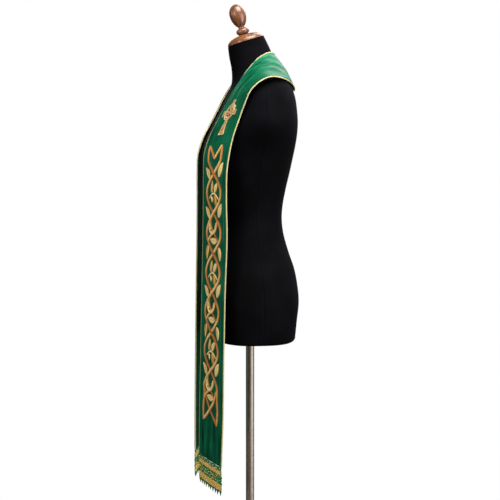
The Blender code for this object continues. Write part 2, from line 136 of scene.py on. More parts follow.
# Creases of the draped cloth, in millimetres.  down and over place the middle of the
# crease, slant is how far it drifts over for each millimetre down, height is + for a
# ridge and - for a trough, and side is the half it lies on.
Crease = namedtuple("Crease", "side down over slant length width height")
CREASES = [
    Crease("both", 24, 10, -0.25, 55, 30, 1.0),
    Crease("both", 58, -16, 0.40, 70, 24, 1.2),
    Crease("both", 82, 26, -0.30, 80, 28, 1.3),
    Crease("left", 64, -34, -0.55, 60, 12, 2.6),
    Crease("left", 84, -8, -0.80, 66, 13, 3.4),
    Crease("left", 104, -36, -0.60, 56, 11, 3.2),
    Crease("left", 118, 8, -0.70, 74, 13, 2.8),
    Crease("left", 138, -26, -0.50, 64, 11, 3.0),
    Crease("left", 128, 2, -0.30, 80, 22, 1.4),
    Crease("left", 156, 30, 0.20, 70, 20, 1.2),
    Crease("left", 186, -20, -0.10, 110, 13, 2.0),
    Crease("left", 205, 8, -0.05, 120, 16, 1.5),
    Crease("left", 228, 30, -0.06, 110, 15, 1.3),
    Crease("right", 96, -16, -0.50, 70, 13, 2.4),
    Crease("right", 122, 12, -0.30, 100, 19, 2.1),
    Crease("right", 160, -30, -0.20, 90, 12, 2.0),
    Crease("right", 205, 18, 0.08, 140, 18, 1.5),
    Crease("left", 330, -33, 0.03, 160, 14, 1.0),
    Crease("left", 345, 36, -0.05, 190, 13, 1.0),
    Crease("right", 360, -28, -0.04, 190, 15, 1.1),
    Crease("right", 420, 33, 0.03, 170, 14, 0.9),
    Crease("both", 560, 50, 0.01, 330, 9, 1.6),
    Crease("left", 700, -52, 0.01, 380, 10, 1.3),
    Crease("right", 760, 46, -0.01, 300, 12, 1.5),
    Crease("left", 860, 51, -0.01, 340, 10, 1.6),
    Crease("right", 930, -48, 0.01, 260, 12, 1.5),
    Crease("left", 1100, -47, 0.05, 105, 15, -3.6),
    Crease("left", 1112, -29, 0.02, 90, 12, 2.4),
    Crease("left", 1104, -9, 0.04, 140, 12, -2.2),
    Crease("left", 1120, 8, -0.04, 85, 9, 2.0),
    Crease("left", 1108, 27, 0.03, 110, 10, -2.4),
    Crease("left", 1090, 42, 0.02, 150, 11, 1.4),
    Crease("left", 1118, 56, 0.00, 95, 11, -3.2),
    Crease("right", 1100, -34, 0.02, 140, 12, 2.6),
    Crease("right", 1112, -12, -0.03, 120, 11, -2.4),
    Crease("right", 1108, 14, 0.03, 150, 13, 2.7),
    Crease("right", 1116, 38, -0.02, 120, 10, -2.2),
]


# ---------------------------------------------------------------- curves and surfaces
def through(values, knots, at):
    """A smooth curve through rows of values placed at knots, read at the places in at."""
    values = np.asarray(values, float)
    knots = np.asarray(knots, float)
    at = np.asarray(at, float)
    slopes = np.gradient(values, knots, axis=0)
    span = np.clip(np.searchsorted(knots, at, side="right") - 1, 0, len(knots) - 2)
    length = knots[span + 1] - knots[span]
    u = ((at - knots[span]) / length)[:, None]
    length = length[:, None]
    return ((2 * u**3 - 3 * u**2 + 1) * values[span] + (u**3 - 2 * u**2 + u) * length * slopes[span]
            + (3 * u**2 - 2 * u**3) * values[span + 1] + (u**3 - u**2) * length * slopes[span + 1])


def unit(vectors):
    return vectors / np.linalg.norm(vectors, axis=-1, keepdims=True)


def soft_step(x):
    x = np.clip(x, 0, 1)
    return x * x * (3 - 2 * x)


def bell(x):
    return np.exp(-x * x)


def smooth_path(points, spacing):
    """A smooth line through a few points, with a point every so many metres."""
    points = np.asarray(points, float)
    steps = np.linalg.norm(np.diff(points, axis=0), axis=1)
    knots = np.concatenate([[0.0], np.cumsum(steps)])
    count = max(4, int(round(knots[-1] / spacing)) + 1)
    return through(points, knots, np.linspace(0, knots[-1], count))


class StoleHalf:
    """The show side of one half of the stole, with its creases."""

    STEP_DOWN = 0.002
    COLUMNS = 65

    def __init__(self, label, side):
        self.label = label
        self.side = side
        middles = [(np.array(s.inner) + np.array(s.outer)) / 2 for s in STOLE_STATIONS]
        steps = [float(np.linalg.norm(b - a)) for a, b in zip(middles, middles[1:])]
        knots = np.concatenate([[0.0], np.cumsum(steps)])
        self.length = knots[-1]
        down = np.linspace(0, self.length, int(self.length / self.STEP_DOWN) + 1)
        rows = through([(*s.inner, *s.outer, s.bow) for s in STOLE_STATIONS], knots, down)
        inner, outer, bow = rows[:, 0:3], rows[:, 3:6], rows[:, 6]
        if side < 0:
            onto_bust = soft_step((down - knots[DRIFT_STARTS]) / (knots[DRIFT_FULL] - knots[DRIFT_STARTS]))
            fall = np.clip((down - knots[DRIFT_FULL]) / (knots[-1] - knots[DRIFT_FULL]), 0, 1)
            drift = onto_bust * (RIGHT_STANDS_OUT + (RIGHT_STANDS_OUT_HEM - RIGHT_STANDS_OUT) * fall)
            inner[:, 1] -= drift
            outer[:, 1] -= drift
            inner[:, 2] -= RIGHT_HANGS_LOWER * fall
            outer[:, 2] -= RIGHT_HANGS_LOWER * fall
        # the cut is measured along the middle, before any crease
        steps = np.diff((inner + outer) / 2, axis=0)
        self.cut_length = float(np.linalg.norm(steps, axis=1).sum())
        run = np.gradient(inner + outer, down, axis=0)
        lift = unit(np.cross(run, outer - inner))
        t = np.linspace(0, 1, self.COLUMNS)
        swell = 4 * t * (1 - t)
        points = (inner[:, None] * (1 - t)[None, :, None] + outer[:, None] * t[None, :, None]
                  + lift[:, None] * (bow[:, None] * swell[None, :])[..., None])
        self.down = down
        self.width = np.linalg.norm(outer - inner, axis=1)
        normals = self.normals_of(points)
        points = points + normals * CLOTH_RESTS_OFF
        self.folds = self.creases(down, t)[..., None]
        points = points + normals * self.folds
        self.points = points
        self.normals = self.normals_of(points)

    def normals_of(self, points):
        along = np.gradient(points, axis=0)
        across = np.gradient(points, axis=1)
        return unit(np.cross(along, across))

    def creases(self, down, t):
        """Height of the creases over the grid; they fade before the seams at the edges."""
        down = down[:, None] / MM
        over = (t[None, :] - 0.5) * self.width[:, None] / MM
        height = np.zeros((down.shape[0], t.shape[0]))
        for c in CREASES:
            if c.side not in ("both", self.label):
                continue
            along = (down - c.down) / (c.length / 2)
            middle = c.over + c.slant * (down - c.down) + 1.5 * np.sin(along * 3 + c.down)
            body = np.clip(1 - along * along, 0, 1) ** 1.5
            height += c.height * body * bell((over - middle) / (c.width / 2))
        edge = soft_step(np.minimum(t, 1 - t)[None, :] / 0.05)
        start = soft_step(down / 8)
        return height * MM * (0.25 + 0.75 * edge) * start

    def width_at(self, down):
        return np.interp(down, self.down, self.width)

    def read(self, grid, down, t):
        """The grid of rows and columns read between its points."""
        down, t = np.broadcast_arrays(down, t)
        x = down / self.length * (len(self.down) - 1)
        y = t * (self.COLUMNS - 1)
        i = np.clip(np.floor(x).astype(int), 0, len(self.down) - 2)
        j = np.clip(np.floor(y).astype(int), 0, self.COLUMNS - 2)
        u = (x - i)[..., None]
        v = (y - j)[..., None]
        return ((grid[i, j] * (1 - v) + grid[i, j + 1] * v) * (1 - u)
                + (grid[i + 1, j] * (1 - v) + grid[i + 1, j + 1] * v) * u)

    def at(self, down, t, lift):
        """Points on the panel: t is 0 at the neck edge and 1 at the shoulder edge."""
        points = self.read(self.points, down, t)
        points = points + self.read(self.normals, down, t) * np.asarray(lift)[..., None]
        points[..., 0] = np.maximum(points[..., 0], SEAM_GAP / 2)
        return self.mirrored(points)

    def placed(self, down, over, lift):
        """Points on the panel: over is measured from its middle, towards the shoulder."""
        return self.at(down, 0.5 + over / self.width_at(down), lift)

    def mirrored(self, points):
        points = points.copy()
        points[..., 0] *= self.side
        return points


# ---------------------------------------------------------------- making pieces
class Work:
    """Gathers grids of points into one mesh piece with its lengths and tones."""

    def __init__(self, flip=False):
        self.verts = []
        self.faces = []
        self.uv = []
        self.tone = []
        self.count = 0
        self.flip = flip

    def grid(self, points, uv=None, tone=0.5, ring=False):
        """Rows of points joined to each other; a ring also joins its last point to its first."""
        rows, columns = points.shape[:2]
        index = np.arange(rows * columns).reshape(rows, columns) + self.count
        after = np.roll(index, -1, axis=1) if ring else index[:, 1:]
        here = index if ring else index[:, :-1]
        quads = np.stack([here[:-1], here[1:], after[1:], after[:-1]], axis=-1).reshape(-1, 4)
        if self.flip:
            quads = quads[:, ::-1]
        self.faces.extend(quads.tolist())
        self.verts.append(points.reshape(-1, 3))
        if uv is None:
            uv = np.zeros((rows, columns, 2))
        self.uv.append(np.broadcast_to(uv, (rows, columns, 2)).reshape(-1, 2))
        self.tone.append(np.broadcast_to(tone, (rows, columns)).reshape(-1))
        self.count += rows * columns
        return index

    def cap(self, loop, reverse=False):
        loop = [int(i) for i in loop]
        if reverse != self.flip:
            loop.reverse()
        self.faces.append(loop)

    def finish(self, name, material, slot, body, sharp=None):
        """Make the piece, with its finish, riding on its body. The slot is not used."""
        mesh = bpy.data.meshes.new(name)
        mesh.from_pydata(np.concatenate(self.verts).tolist(), [], self.faces)
        uv = np.concatenate(self.uv)
        tone = np.concatenate(self.tone)
        corners = np.empty(len(mesh.loops), dtype=np.int64)
        mesh.loops.foreach_get("vertex_index", corners)
        layer = mesh.uv_layers.new(name="lengths")
        layer.data.foreach_set("uv", uv[corners].astype(np.float32).ravel())
        store = mesh.attributes.new("tone", "FLOAT", "POINT")
        store.data.foreach_set("value", tone.astype(np.float32))
        mesh.shade_smooth()
        if sharp:
            mesh.set_sharp_from_angle(angle=math.radians(sharp))
        mesh.materials.append(material)
        piece = bpy.data.objects.new(name, mesh)
        bpy.context.scene.collection.objects.link(piece)
        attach(piece, body)
        return piece


def twisted_cord(work, path, reference, radius, pitch, plies, sides, groove=0.16, flat=1.0):
    """A plied cord along a path: the plies show as a winding of rounded lobes."""
    tangent = unit(np.gradient(path, axis=0))
    out = reference - tangent * np.sum(reference * tangent, axis=1, keepdims=True)
    out = unit(out)
    other = np.cross(tangent, out)
    steps = np.linalg.norm(np.diff(path, axis=0), axis=1)
    run = np.concatenate([[0.0], np.cumsum(steps)])
    angle = np.linspace(0, 2 * math.pi, sides, endpoint=False)
    wind = angle[None, :] - 2 * math.pi * run[:, None] / pitch
    lobe = np.abs(np.cos(plies / 2 * wind))
    reach = np.asarray(radius).reshape(-1, 1) * (1 - groove * (1 - lobe))
    ring = (path[:, None] + out[:, None] * (reach * np.cos(angle) * flat)[..., None]
            + other[:, None] * (reach * np.sin(angle))[..., None])
    uv = np.stack(np.broadcast_arrays(run[:, None], wind * 0.001), axis=-1)
    # the lobe value goes in as tone: painted highlight on the lobes and painted shade in the grooves
    index = work.grid(ring[:, ::-1], uv[:, ::-1], lobe[:, ::-1], ring=True)
    work.cap(index[0])
    work.cap(index[-1], reverse=True)


def taper(count, spacing, start, end):
    """Width along a band from 0 to 1 that rounds down to a point at either end."""
    run = np.arange(count) * spacing
    width = np.ones(count)
    if start:
        width *= np.sqrt(np.clip(run / start, 0, 1)) * 0.96 + 0.04
    if end:
        width *= np.sqrt(np.clip((run[-1] - run) / end, 0, 1)) * 0.96 + 0.04
    return width


SECTION = np.array([-1.0, -0.9, -0.65, -0.35, 0.0, 0.35, 0.65, 0.9, 1.0])
BURY = 0.0003                    # the edges of the stitching sink into the satin


def stitched_band(work, half, path, half_width, height, level=0.0, start=0.0, end=0.0,
                  tone=None, spacing=0.0018):
    """A raised band of satin stitch along a path of (down, over) points."""
    line = smooth_path(path, spacing)
    direction = unit(np.gradient(line, axis=0))
    sideways = np.stack([-direction[:, 1], direction[:, 0]], axis=-1)
    run = np.arange(len(line)) * spacing
    widths = half_width(run / run[-1]) if callable(half_width) else half_width
    widths = widths * taper(len(line), spacing, start, end)
    heights = height(line[:, 0]) if callable(height) else np.full(len(line), height)
    levels = level(line[:, 0]) if callable(level) else np.full(len(line), level)
    across = SECTION[None, :] * widths[:, None]
    down = line[:, 0:1] + sideways[:, 0:1] * across
    over = line[:, 1:2] + sideways[:, 1:2] * across
    dome = (1 - SECTION**2) ** 0.55
    lift = heights[:, None] * dome[None, :] + levels[:, None] * (dome > 0)[None, :]
    lift = np.where(dome[None, :] > 0, lift, -BURY)
    # painted sheen: a band is paler where it runs one way across the panel and browner where it runs the
    # other
    if tone is None:
        tone = np.clip(0.64 - 0.32 * direction[:, 1], 0, 1)[:, None]
    # painted highlight along the crown of the band and painted shade towards its edges, where the dome
    # turns down
    tones = np.broadcast_to(tone, down.shape) + 0.12 - 0.66 * np.abs(SECTION[None, :]) ** 3
    uv = np.stack(np.broadcast_arrays(run[:, None], across), axis=-1)
    work.grid(half.placed(down, over, lift), uv, tones)


LEAF_HEIGHT = 0.0016
VEINS = 5


def stitched_leaf(work, half, base, tip, breadth, tone, curl):
    """A pointed leaf with a sunk midrib and slanting side veins."""
    base = np.asarray(base, float)
    tip = np.asarray(tip, float)
    along = tip - base
    length = np.linalg.norm(along)
    along = along / length
    sideways = np.array([-along[1], along[0]])
    u = np.linspace(0, 1, 30)[:, None]
    x = np.linspace(-1, 1, 13)[None, :]
    outline = np.sin(math.pi * u**0.82) ** 0.75
    wide = breadth / 2 * np.maximum(outline, 0.03) * x
    spine = u * length
    bend = curl * np.sin(math.pi * u)
    down = base[0] + along[0] * spine + sideways[0] * (wide + bend)
    over = base[1] + along[1] * spine + sideways[1] * (wide + bend)
    dome = np.clip(1 - x**2, 0, 1) ** 0.5
    vein = 0.5 + 0.5 * np.cos(2 * math.pi * (u * VEINS + np.abs(x) * 1.1))
    rib = bell(x / 0.13)
    lift = LEAF_HEIGHT * (dome * (0.45 + 0.55 * outline) - 0.42 * rib * dome - 0.16 * vein**4 * dome)
    lift = np.where(np.abs(x) > 0.99, -BURY, lift)
    # painted highlight on one side of the midrib and painted shade on the other; the rim is painted darker
    # as shade where the dome turns down, and the sunk midrib and veins are darker too
    tones = tone + 0.10 + 0.16 * np.tanh(x / 0.15) - 0.60 * vein**3 * np.abs(x)
    tones = np.clip(tones - 0.75 * rib - 0.70 * np.abs(x) ** 5, 0, 1)
    uv = np.stack(np.broadcast_arrays(spine, wide), axis=-1)
    work.grid(half.placed(down, over, lift), uv, tones)


# ---------------------------------------------------------------- finishes
def linear(code):
    """An sRGB hex colour as linear RGBA."""
    channels = [int(code[i:i + 2], 16) / 255 for i in (1, 3, 5)]
    return (*[c / 12.92 if c <= 0.04045 else ((c + 0.055) / 1.055) ** 2.4 for c in channels], 1.0)


def add(tree, kind, settings=None, links=None):
    """A node with its settings and links, each by the name or number of its socket.  A
    ramp's stops are (place, hex) pairs."""
    item = tree.nodes.new("ShaderNode" + kind)
    for name, value in (settings or {}).items():
        if name == "stops":
            ramp = item.color_ramp
            ramp.interpolation = "EASE"
            while len(ramp.elements) < len(value):
                ramp.elements.new(0.5)
            for element, (place, code) in zip(ramp.elements, value):
                element.position = place
                element.color = linear(code)
        elif isinstance(name, str) and hasattr(item, name):
            setattr(item, name, value)
        else:
            item.inputs[name].default_value = value
    for name, source in (links or {}).items():
        tree.links.new(source, item.inputs[name])
    return item


def new_finish(name):
    """An empty finish, ready for its nodes."""
    material = bpy.data.materials.new(name)
    material.use_nodes = True
    tree = material.node_tree
    tree.nodes.clear()
    return material, tree


def woven_green_satin():
    """Polyester satin, woven: warp floats run down the panel, so light breaks into long
    soft streaks, and the gloss takes the colour of the thread."""
    material, tree = new_finish("woven_green_satin")
    lengths = add(tree, "UVMap", {"uv_map": "lengths"}).outputs[0]
    # streaks about 5 mm wide and 120 mm long where the warp tension varies
    stretched = add(tree, "Mapping", {"Scale": (8.0, 190.0, 1.0)}, {"Vector": lengths})
    streaks = add(tree, "TexNoise", {"noise_dimensions": "2D", "Scale": 1.0, "Detail": 3.0,
                                     "Roughness": 0.55}, {"Vector": stretched.outputs[0]})
    # broad patches about 60 mm across where the cloth was pressed
    patches = add(tree, "TexNoise", {"noise_dimensions": "2D", "Scale": 15.0, "Detail": 2.0},
                  {"Vector": lengths})
    mixed = add(tree, "Math", {"operation": "MULTIPLY_ADD", 1: 0.45},
                {0: patches.outputs["Fac"], 2: streaks.outputs["Fac"]})
    # painted shade in the troughs of the drape and painted highlight on its ridges, carried in by the tone
    # attribute
    tone = add(tree, "Attribute", {"attribute_name": "tone"})
    shaded = add(tree, "Math", {"operation": "MULTIPLY_ADD", 1: 0.8},
                 {0: tone.outputs["Fac"], 2: mixed.outputs[0]})
    eased = add(tree, "MapRange", {"From Min": 0.65, "From Max": 1.55}, {"Value": shaded.outputs[0]})
    green = [(0.0, "#011d11"), (0.30, "#023d26"), (0.56, "#045538"), (1.0, "#0b7450")]
    tint = add(tree, "ValToRGB", {"stops": green}, {"Fac": eased.outputs[0]})
    # threads of 0.1 mm are too fine to show, so they are drawn 1.8 mm apart
    threads = add(tree, "TexWave", {"bands_direction": "Y", "Scale": 6.28 / (20 * 1.8 * MM),
                                    "Distortion": 0.6, "Detail": 1.0}, {"Vector": lengths})
    fine = add(tree, "Bump", {"Strength": 0.10, "Distance": 0.0002}, {"Height": threads.outputs["Fac"]})
    ripple = add(tree, "Bump", {"Strength": 0.22, "Distance": 0.0010},
                 {"Height": streaks.outputs["Fac"], "Normal": fine.outputs[0]})
    rough = add(tree, "MapRange", {"To Min": 0.42, "To Max": 0.56}, {"Value": streaks.outputs["Fac"]})
    shader = add(tree, "BsdfPrincipled",
                 {"Specular IOR Level": 0.38, "Specular Tint": linear("#78deb0"),
                  "Sheen Weight": 0.04, "Sheen Roughness": 0.45, "Sheen Tint": linear("#6cc796")},
                 {"Base Color": tint.outputs["Color"], "Roughness": rough.outputs[0],
                  "Normal": ripple.outputs[0]})
    add(tree, "OutputMaterial", {}, {"Surface": shader.outputs[0]})
    return material


def woven_dark_lining():
    """Plain-woven polyester lining, duller than the satin, with a fine even grain; its green is painted
    darker than the satin's, as painted shade for where it hangs out of the light.
    """
    material, tree = new_finish("woven_dark_lining")
    lengths = add(tree, "UVMap", {"uv_map": "lengths"}).outputs[0]
    # a plain weave of 0.25 mm threads, drawn at 1.2 mm
    warp = add(tree, "TexWave", {"bands_direction": "X", "Scale": 260.0}, {"Vector": lengths})
    weft = add(tree, "TexWave", {"bands_direction": "Y", "Scale": 260.0}, {"Vector": lengths})
    weave = add(tree, "Math", {"operation": "MULTIPLY"}, {0: warp.outputs["Fac"], 1: weft.outputs["Fac"]})
    clouds = add(tree, "TexNoise", {"noise_dimensions": "2D", "Scale": 22.0, "Detail": 3.0},
                 {"Vector": lengths})
    tint = add(tree, "ValToRGB", {"stops": [(0.3, "#053820"), (0.7, "#0a4a2d")]},
               {"Fac": clouds.outputs["Fac"]})
    bump = add(tree, "Bump", {"Strength": 0.2, "Distance": 0.0002}, {"Height": weave.outputs[0]})
    shader = add(tree, "BsdfPrincipled",
                 {"Roughness": 0.80, "Specular IOR Level": 0.08, "Specular Tint": linear("#5fae84")},
                 {"Base Color": tint.outputs["Color"], "Normal": bump.outputs[0]})
    add(tree, "OutputMaterial", {}, {"Surface": shader.outputs[0]})
    return material


def plied_thread(name, stops, roughness=0.42, sheen="#fff0cf"):
    """Rayon thread, plied: the lobes are painted paler and their grooves darker, a painted highlight and
    painted shade, so the cord reads as wound."""
    material, tree = new_finish(name)
    lengths = add(tree, "UVMap", {"uv_map": "lengths"}).outputs[0]
    tone = add(tree, "Attribute", {"attribute_name": "tone"})
    spots = add(tree, "TexNoise", {"noise_dimensions": "2D", "Scale": 420.0, "Detail": 2.0},
                {"Vector": lengths})
    mixed = add(tree, "Math", {"operation": "MULTIPLY_ADD", 1: 0.35},
                {0: spots.outputs["Fac"], 2: tone.outputs["Fac"]})
    eased = add(tree, "MapRange", {"From Min": 0.1, "From Max": 1.2}, {"Value": mixed.outputs[0]})
    tint = add(tree, "ValToRGB", {"stops": stops}, {"Fac": eased.outputs[0]})
    # the strands of a ply, 0.7 mm apart on the slant
    strands = add(tree, "TexWave", {"bands_direction": "DIAGONAL", "Scale": 900.0, "Distortion": 0.4},
                  {"Vector": lengths})
    bump = add(tree, "Bump", {"Strength": 0.25, "Distance": 0.00015}, {"Height": strands.outputs["Fac"]})
    shader = add(tree, "BsdfPrincipled",
                 {"Roughness": roughness, "Specular IOR Level": 0.35,
                  "Sheen Weight": 0.08, "Sheen Roughness": 0.4, "Sheen Tint": linear(sheen)},
                 {"Base Color": tint.outputs["Color"], "Normal": bump.outputs[0]})
    add(tree, "OutputMaterial", {}, {"Surface": shader.outputs[0]})
    return material


def satin_stitch(name, stops):
    """Rayon embroidery thread, laid side by side across the shape: each row of stitches turns with the
    line, and the colour carries a painted sheen, paler where a band runs one way across the panel and
    browner where it runs the other."""
    material, tree = new_finish(name)
    lengths = add(tree, "UVMap", {"uv_map": "lengths"}).outputs[0]
    tone = add(tree, "Attribute", {"attribute_name": "tone"})
    # threads of 0.35 mm, drawn 0.9 mm apart along the run
    threads = add(tree, "TexWave", {"bands_direction": "X", "Scale": 350.0, "Distortion": 1.2,
                                    "Detail": 2.0, "Detail Scale": 2.0}, {"Vector": lengths})
    shade = add(tree, "TexNoise", {"noise_dimensions": "2D", "Scale": 160.0, "Detail": 2.0},
                {"Vector": lengths})
    first = add(tree, "Math", {"operation": "MULTIPLY_ADD", 1: 0.22},
                {0: threads.outputs["Fac"], 2: tone.outputs["Fac"]})
    mixed = add(tree, "Math", {"operation": "MULTIPLY_ADD", 1: 0.30},
                {0: shade.outputs["Fac"], 2: first.outputs[0]})
    eased = add(tree, "MapRange", {"From Min": 0.12, "From Max": 1.30}, {"Value": mixed.outputs[0]})
    tint = add(tree, "ValToRGB", {"stops": stops}, {"Fac": eased.outputs[0]})
    bump = add(tree, "Bump", {"Strength": 0.5, "Distance": 0.00025}, {"Height": threads.outputs["Fac"]})
    shader = add(tree, "BsdfPrincipled",
                 {"Roughness": 0.36, "Specular IOR Level": 0.5, "Specular Tint": linear("#ffe2b0")},
                 {"Base Color": tint.outputs["Color"], "Normal": bump.outputs[0]})
    add(tree, "OutputMaterial", {}, {"Surface": shader.outputs[0]})
    return material


def knitted_black_jersey():
    """Cotton jersey, knitted and stretched over the form: matt black with a faint cool bloom
    at its edges and fine ribs."""
    material, tree = new_finish("knitted_black_jersey")
    place = add(tree, "TexCoord").outputs["Object"]
    # knit loops of 0.8 mm, drawn as ribs 2 mm apart
    ribs = add(tree, "TexWave", {"bands_direction": "X", "Scale": 160.0, "Distortion": 1.0, "Detail": 2.0},
               {"Vector": place})
    clouds = add(tree, "TexNoise", {"Scale": 14.0, "Detail": 4.0}, {"Vector": place})
    tint = add(tree, "ValToRGB", {"stops": [(0.35, "#030304"), (0.70, "#07060a")]},
               {"Fac": clouds.outputs["Fac"]})
    bump = add(tree, "Bump", {"Strength": 0.18, "Distance": 0.0003}, {"Height": ribs.outputs["Fac"]})
    shader = add(tree, "BsdfPrincipled",
                 {"Roughness": 0.85, "Specular IOR Level": 0.05,
                  "Sheen Weight": 0.025, "Sheen Roughness": 0.35, "Sheen Tint": linear("#8f8fa5")},
                 {"Base Color": tint.outputs["Color"], "Normal": bump.outputs[0]})
    add(tree, "OutputMaterial", {}, {"Surface": shader.outputs[0]})
    return material


def varnished_turned_beech():
    """Beech, turned, stained walnut and varnished: brown grain drawn out along the turning
    axis under a clear glossy coat."""
    material, tree = new_finish("varnished_turned_beech")
    place = add(tree, "TexCoord").outputs["Object"]
    upright = add(tree, "Mapping", {"vector_type": "POINT", "Rotation": (-NECK_TILT, 0.0, 0.0)},
                  {"Vector": place})
    # growth lines about 3 mm apart, stretched eight times along the axis
    drawn = add(tree, "Mapping", {"Scale": (1.0, 1.0, 0.16)}, {"Vector": upright.outputs[0]})
    grain = add(tree, "TexNoise", {"Scale": 190.0, "Detail": 5.0, "Roughness": 0.62, "Distortion": 0.5},
                {"Vector": drawn.outputs[0]})
    figure = add(tree, "TexNoise", {"Scale": 34.0, "Detail": 2.0}, {"Vector": drawn.outputs[0]})
    mixed = add(tree, "Math", {"operation": "MULTIPLY_ADD", 1: 0.5},
                {0: figure.outputs["Fac"], 2: grain.outputs["Fac"]})
    tint = add(tree, "ValToRGB", {"stops": [(0.48, "#361e0e"), (0.70, "#62391d"), (0.98, "#8a5630")]},
               {"Fac": mixed.outputs[0]})
    bump = add(tree, "Bump", {"Strength": 0.12, "Distance": 0.0002}, {"Height": grain.outputs["Fac"]})
    shader = add(tree, "BsdfPrincipled",
                 {"Roughness": 0.38, "Specular IOR Level": 0.5, "Coat Weight": 0.5, "Coat Roughness": 0.24},
                 {"Base Color": tint.outputs["Color"], "Normal": bump.outputs[0]})
    add(tree, "OutputMaterial", {}, {"Surface": shader.outputs[0]})
    return material


def satin_ground_steel(name, stretch):
    """Stainless steel, ground to a satin: fine scratches in one direction blur the
    reflections into soft bands."""
    material, tree = new_finish(name)
    place = add(tree, "TexCoord").outputs["Object"]
    drawn = add(tree, "Mapping", {"Scale": stretch}, {"Vector": place})
    # grit scratches of 0.1 mm, drawn 0.8 mm apart
    scratches = add(tree, "TexNoise", {"Scale": 900.0, "Detail": 3.0, "Roughness": 0.6},
                    {"Vector": drawn.outputs[0]})
    rough = add(tree, "MapRange", {"To Min": 0.44, "To Max": 0.60}, {"Value": scratches.outputs["Fac"]})
    tint = add(tree, "ValToRGB", {"stops": [(0.3, "#a3958a"), (0.7, "#c2b5a9")]},
               {"Fac": scratches.outputs["Fac"]})
    bump = add(tree, "Bump", {"Strength": 0.08, "Distance": 0.0001}, {"Height": scratches.outputs["Fac"]})
    shader = add(tree, "BsdfPrincipled", {"Metallic": 1.0},
                 {"Base Color": tint.outputs["Color"], "Roughness": rough.outputs[0],
                  "Normal": bump.outputs[0]})
    add(tree, "OutputMaterial", {}, {"Surface": shader.outputs[0]})
    return material


SATIN = woven_green_satin()
LINING = woven_dark_lining()
CORD = plied_thread("plied_gold_cord", [(0.0, "#6c5a2e"), (0.45, "#b0a068"), (1.0, "#dccf9a")])
BRONZE = satin_stitch("satin_stitch_bronze", [(0.0, "#3f1e0c"), (0.35, "#965a28"), (0.7, "#dc984e"),
                                              (1.0, "#ffd38a")])
LEAF_GOLD = satin_stitch("satin_stitch_pale_gold", [(0.0, "#5a3010"), (0.36, "#d99a40"), (0.82, "#ffe7a0")])
CROSS_TAN = satin_stitch("satin_stitch_tan", [(0.0, "#7a4622"), (0.5, "#aa7040"), (1.0, "#cf9c66")])
CROSS_EDGE = plied_thread("couched_pale_cord", [(0.0, "#9c8258"), (1.0, "#d9c292")])
FRINGE_GREEN = plied_thread("plied_green_fringe", [(0.0, "#021a0b"), (0.45, "#17532a"), (1.0, "#57a45a")],
                            0.5, "#9fd0a0")
FRINGE_GOLD = plied_thread("plied_gold_fringe", [(0.0, "#8e4e10"), (0.40, "#f6ae40"), (1.0, "#ffe28c")])
FRINGE_PALE = plied_thread("plied_pale_fringe", [(0.0, "#5f7d4c"), (1.0, "#cdd6a8")])
JERSEY = knitted_black_jersey()
WOOD = varnished_turned_beech()
STEEL_TUBE = satin_ground_steel("satin_ground_steel_tube", (1.0, 1.0, 0.02))
STEEL_PLATE = satin_ground_steel("satin_ground_steel_plate", (0.25, 1.0, 1.0))


# ---------------------------------------------------------------- the dress form
def form_ring(row, angles):
    """Points round one section: a full oval that may dip at the front and rise at the back."""
    half_width, front_y, front_z, side_y, side_z, back_y, back_z, fullness = row
    middle = (front_z + back_z) / 2
    tilt = (back_z - front_z) / 2
    crown = side_z - middle
    across = np.sign(np.cos(angles)) * np.abs(np.cos(angles)) ** (2 / fullness)
    depth = np.sign(np.sin(angles)) * np.abs(np.sin(angles)) ** (2 / fullness)
    reach = np.where(depth > 0, back_y, front_y) - side_y
    return np.stack([half_width * across, side_y + reach * np.abs(depth),
                     middle + tilt * depth + crown * (1 - depth * depth)], axis=-1)


def jersey_cover():
    """The knitted cover: smooth all round, with a lapped seam down each side."""
    beside = np.radians([0.25, 0.55, 0.95, 1.5, 2.3])
    seam = np.concatenate([-beside[::-1], [0.0], beside])
    even = np.radians(np.arange(5, 180, 5))
    angles = np.concatenate([seam, even, math.pi + seam, math.pi + even])
    table = [(r.half_width, *r.front, *r.side, *r.back, r.fullness) for r in FORM_RINGS]
    places = np.linspace(0, len(table) - 1, (len(table) - 1) * 7 + 1)
    rings = [form_ring(row, angles) for row in through(table, np.arange(len(table)), places)]
    centre = np.array([0.0, FORM_RINGS[-1].side[0], 0.0])
    lowest = rings[-1]
    outward = unit((lowest - centre) * (1, 1, 0))
    for turn in np.linspace(0.15, 1.0, 7):
        inset = FORM_CORNER * (1 - math.cos(turn * math.pi / 2))
        ring = lowest - outward * inset
        ring[:, 2] = FORM_RINGS[-1].side[1] - FORM_CORNER * math.sin(turn * math.pi / 2)
        rings.append(ring)
    skin = np.array(rings)
    # the seam: a groove where the two parts meet, and the turned allowance beside it
    offset = np.degrees(np.abs(np.angle(np.exp(2j * angles)) / 2))
    relief = -0.0007 * bell(offset / 0.35) + 0.0004 * bell((offset - 1.1) / 0.5)
    fade = soft_step((np.arange(len(skin)) - 4) / 8)[:, None]
    middle = skin.mean(axis=1, keepdims=True)
    skin = skin + unit((skin - middle) * (1, 1, 0)) * (relief[None, :] * fade)[..., None]
    work = Work(flip=True)
    index = work.grid(skin, ring=True)
    work.cap(index[0])
    turn = np.stack([np.cos(angles), np.sin(angles), np.zeros_like(angles)], axis=-1)
    hole = turn * (POLE_RADIUS + SOCKET_CLEARANCE)
    floor_ring = hole + (0, 0, FORM_BOTTOM)
    deep_ring = hole + (0, 0, FORM_BOTTOM + SOCKET_SHOWS)
    work.grid(np.array([skin[-1], floor_ring]), ring=True)
    work.grid(np.array([floor_ring, deep_ring]), ring=True)
    cover = work.finish("jersey_cover", JERSEY, "black_jersey", "form", sharp=50)
    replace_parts(cover, "form_body")
    return cover


# ---------------------------------------------------------------- turned pieces
def arc(centre, radii, start, end, steps):
    """Points on an ellipse in the profile plane (radius, height); angles in degrees."""
    turn = np.radians(np.linspace(start, end, steps + 1))
    return [(centre[0] + radii[0] * math.cos(a), centre[1] + radii[1] * math.sin(a)) for a in turn]


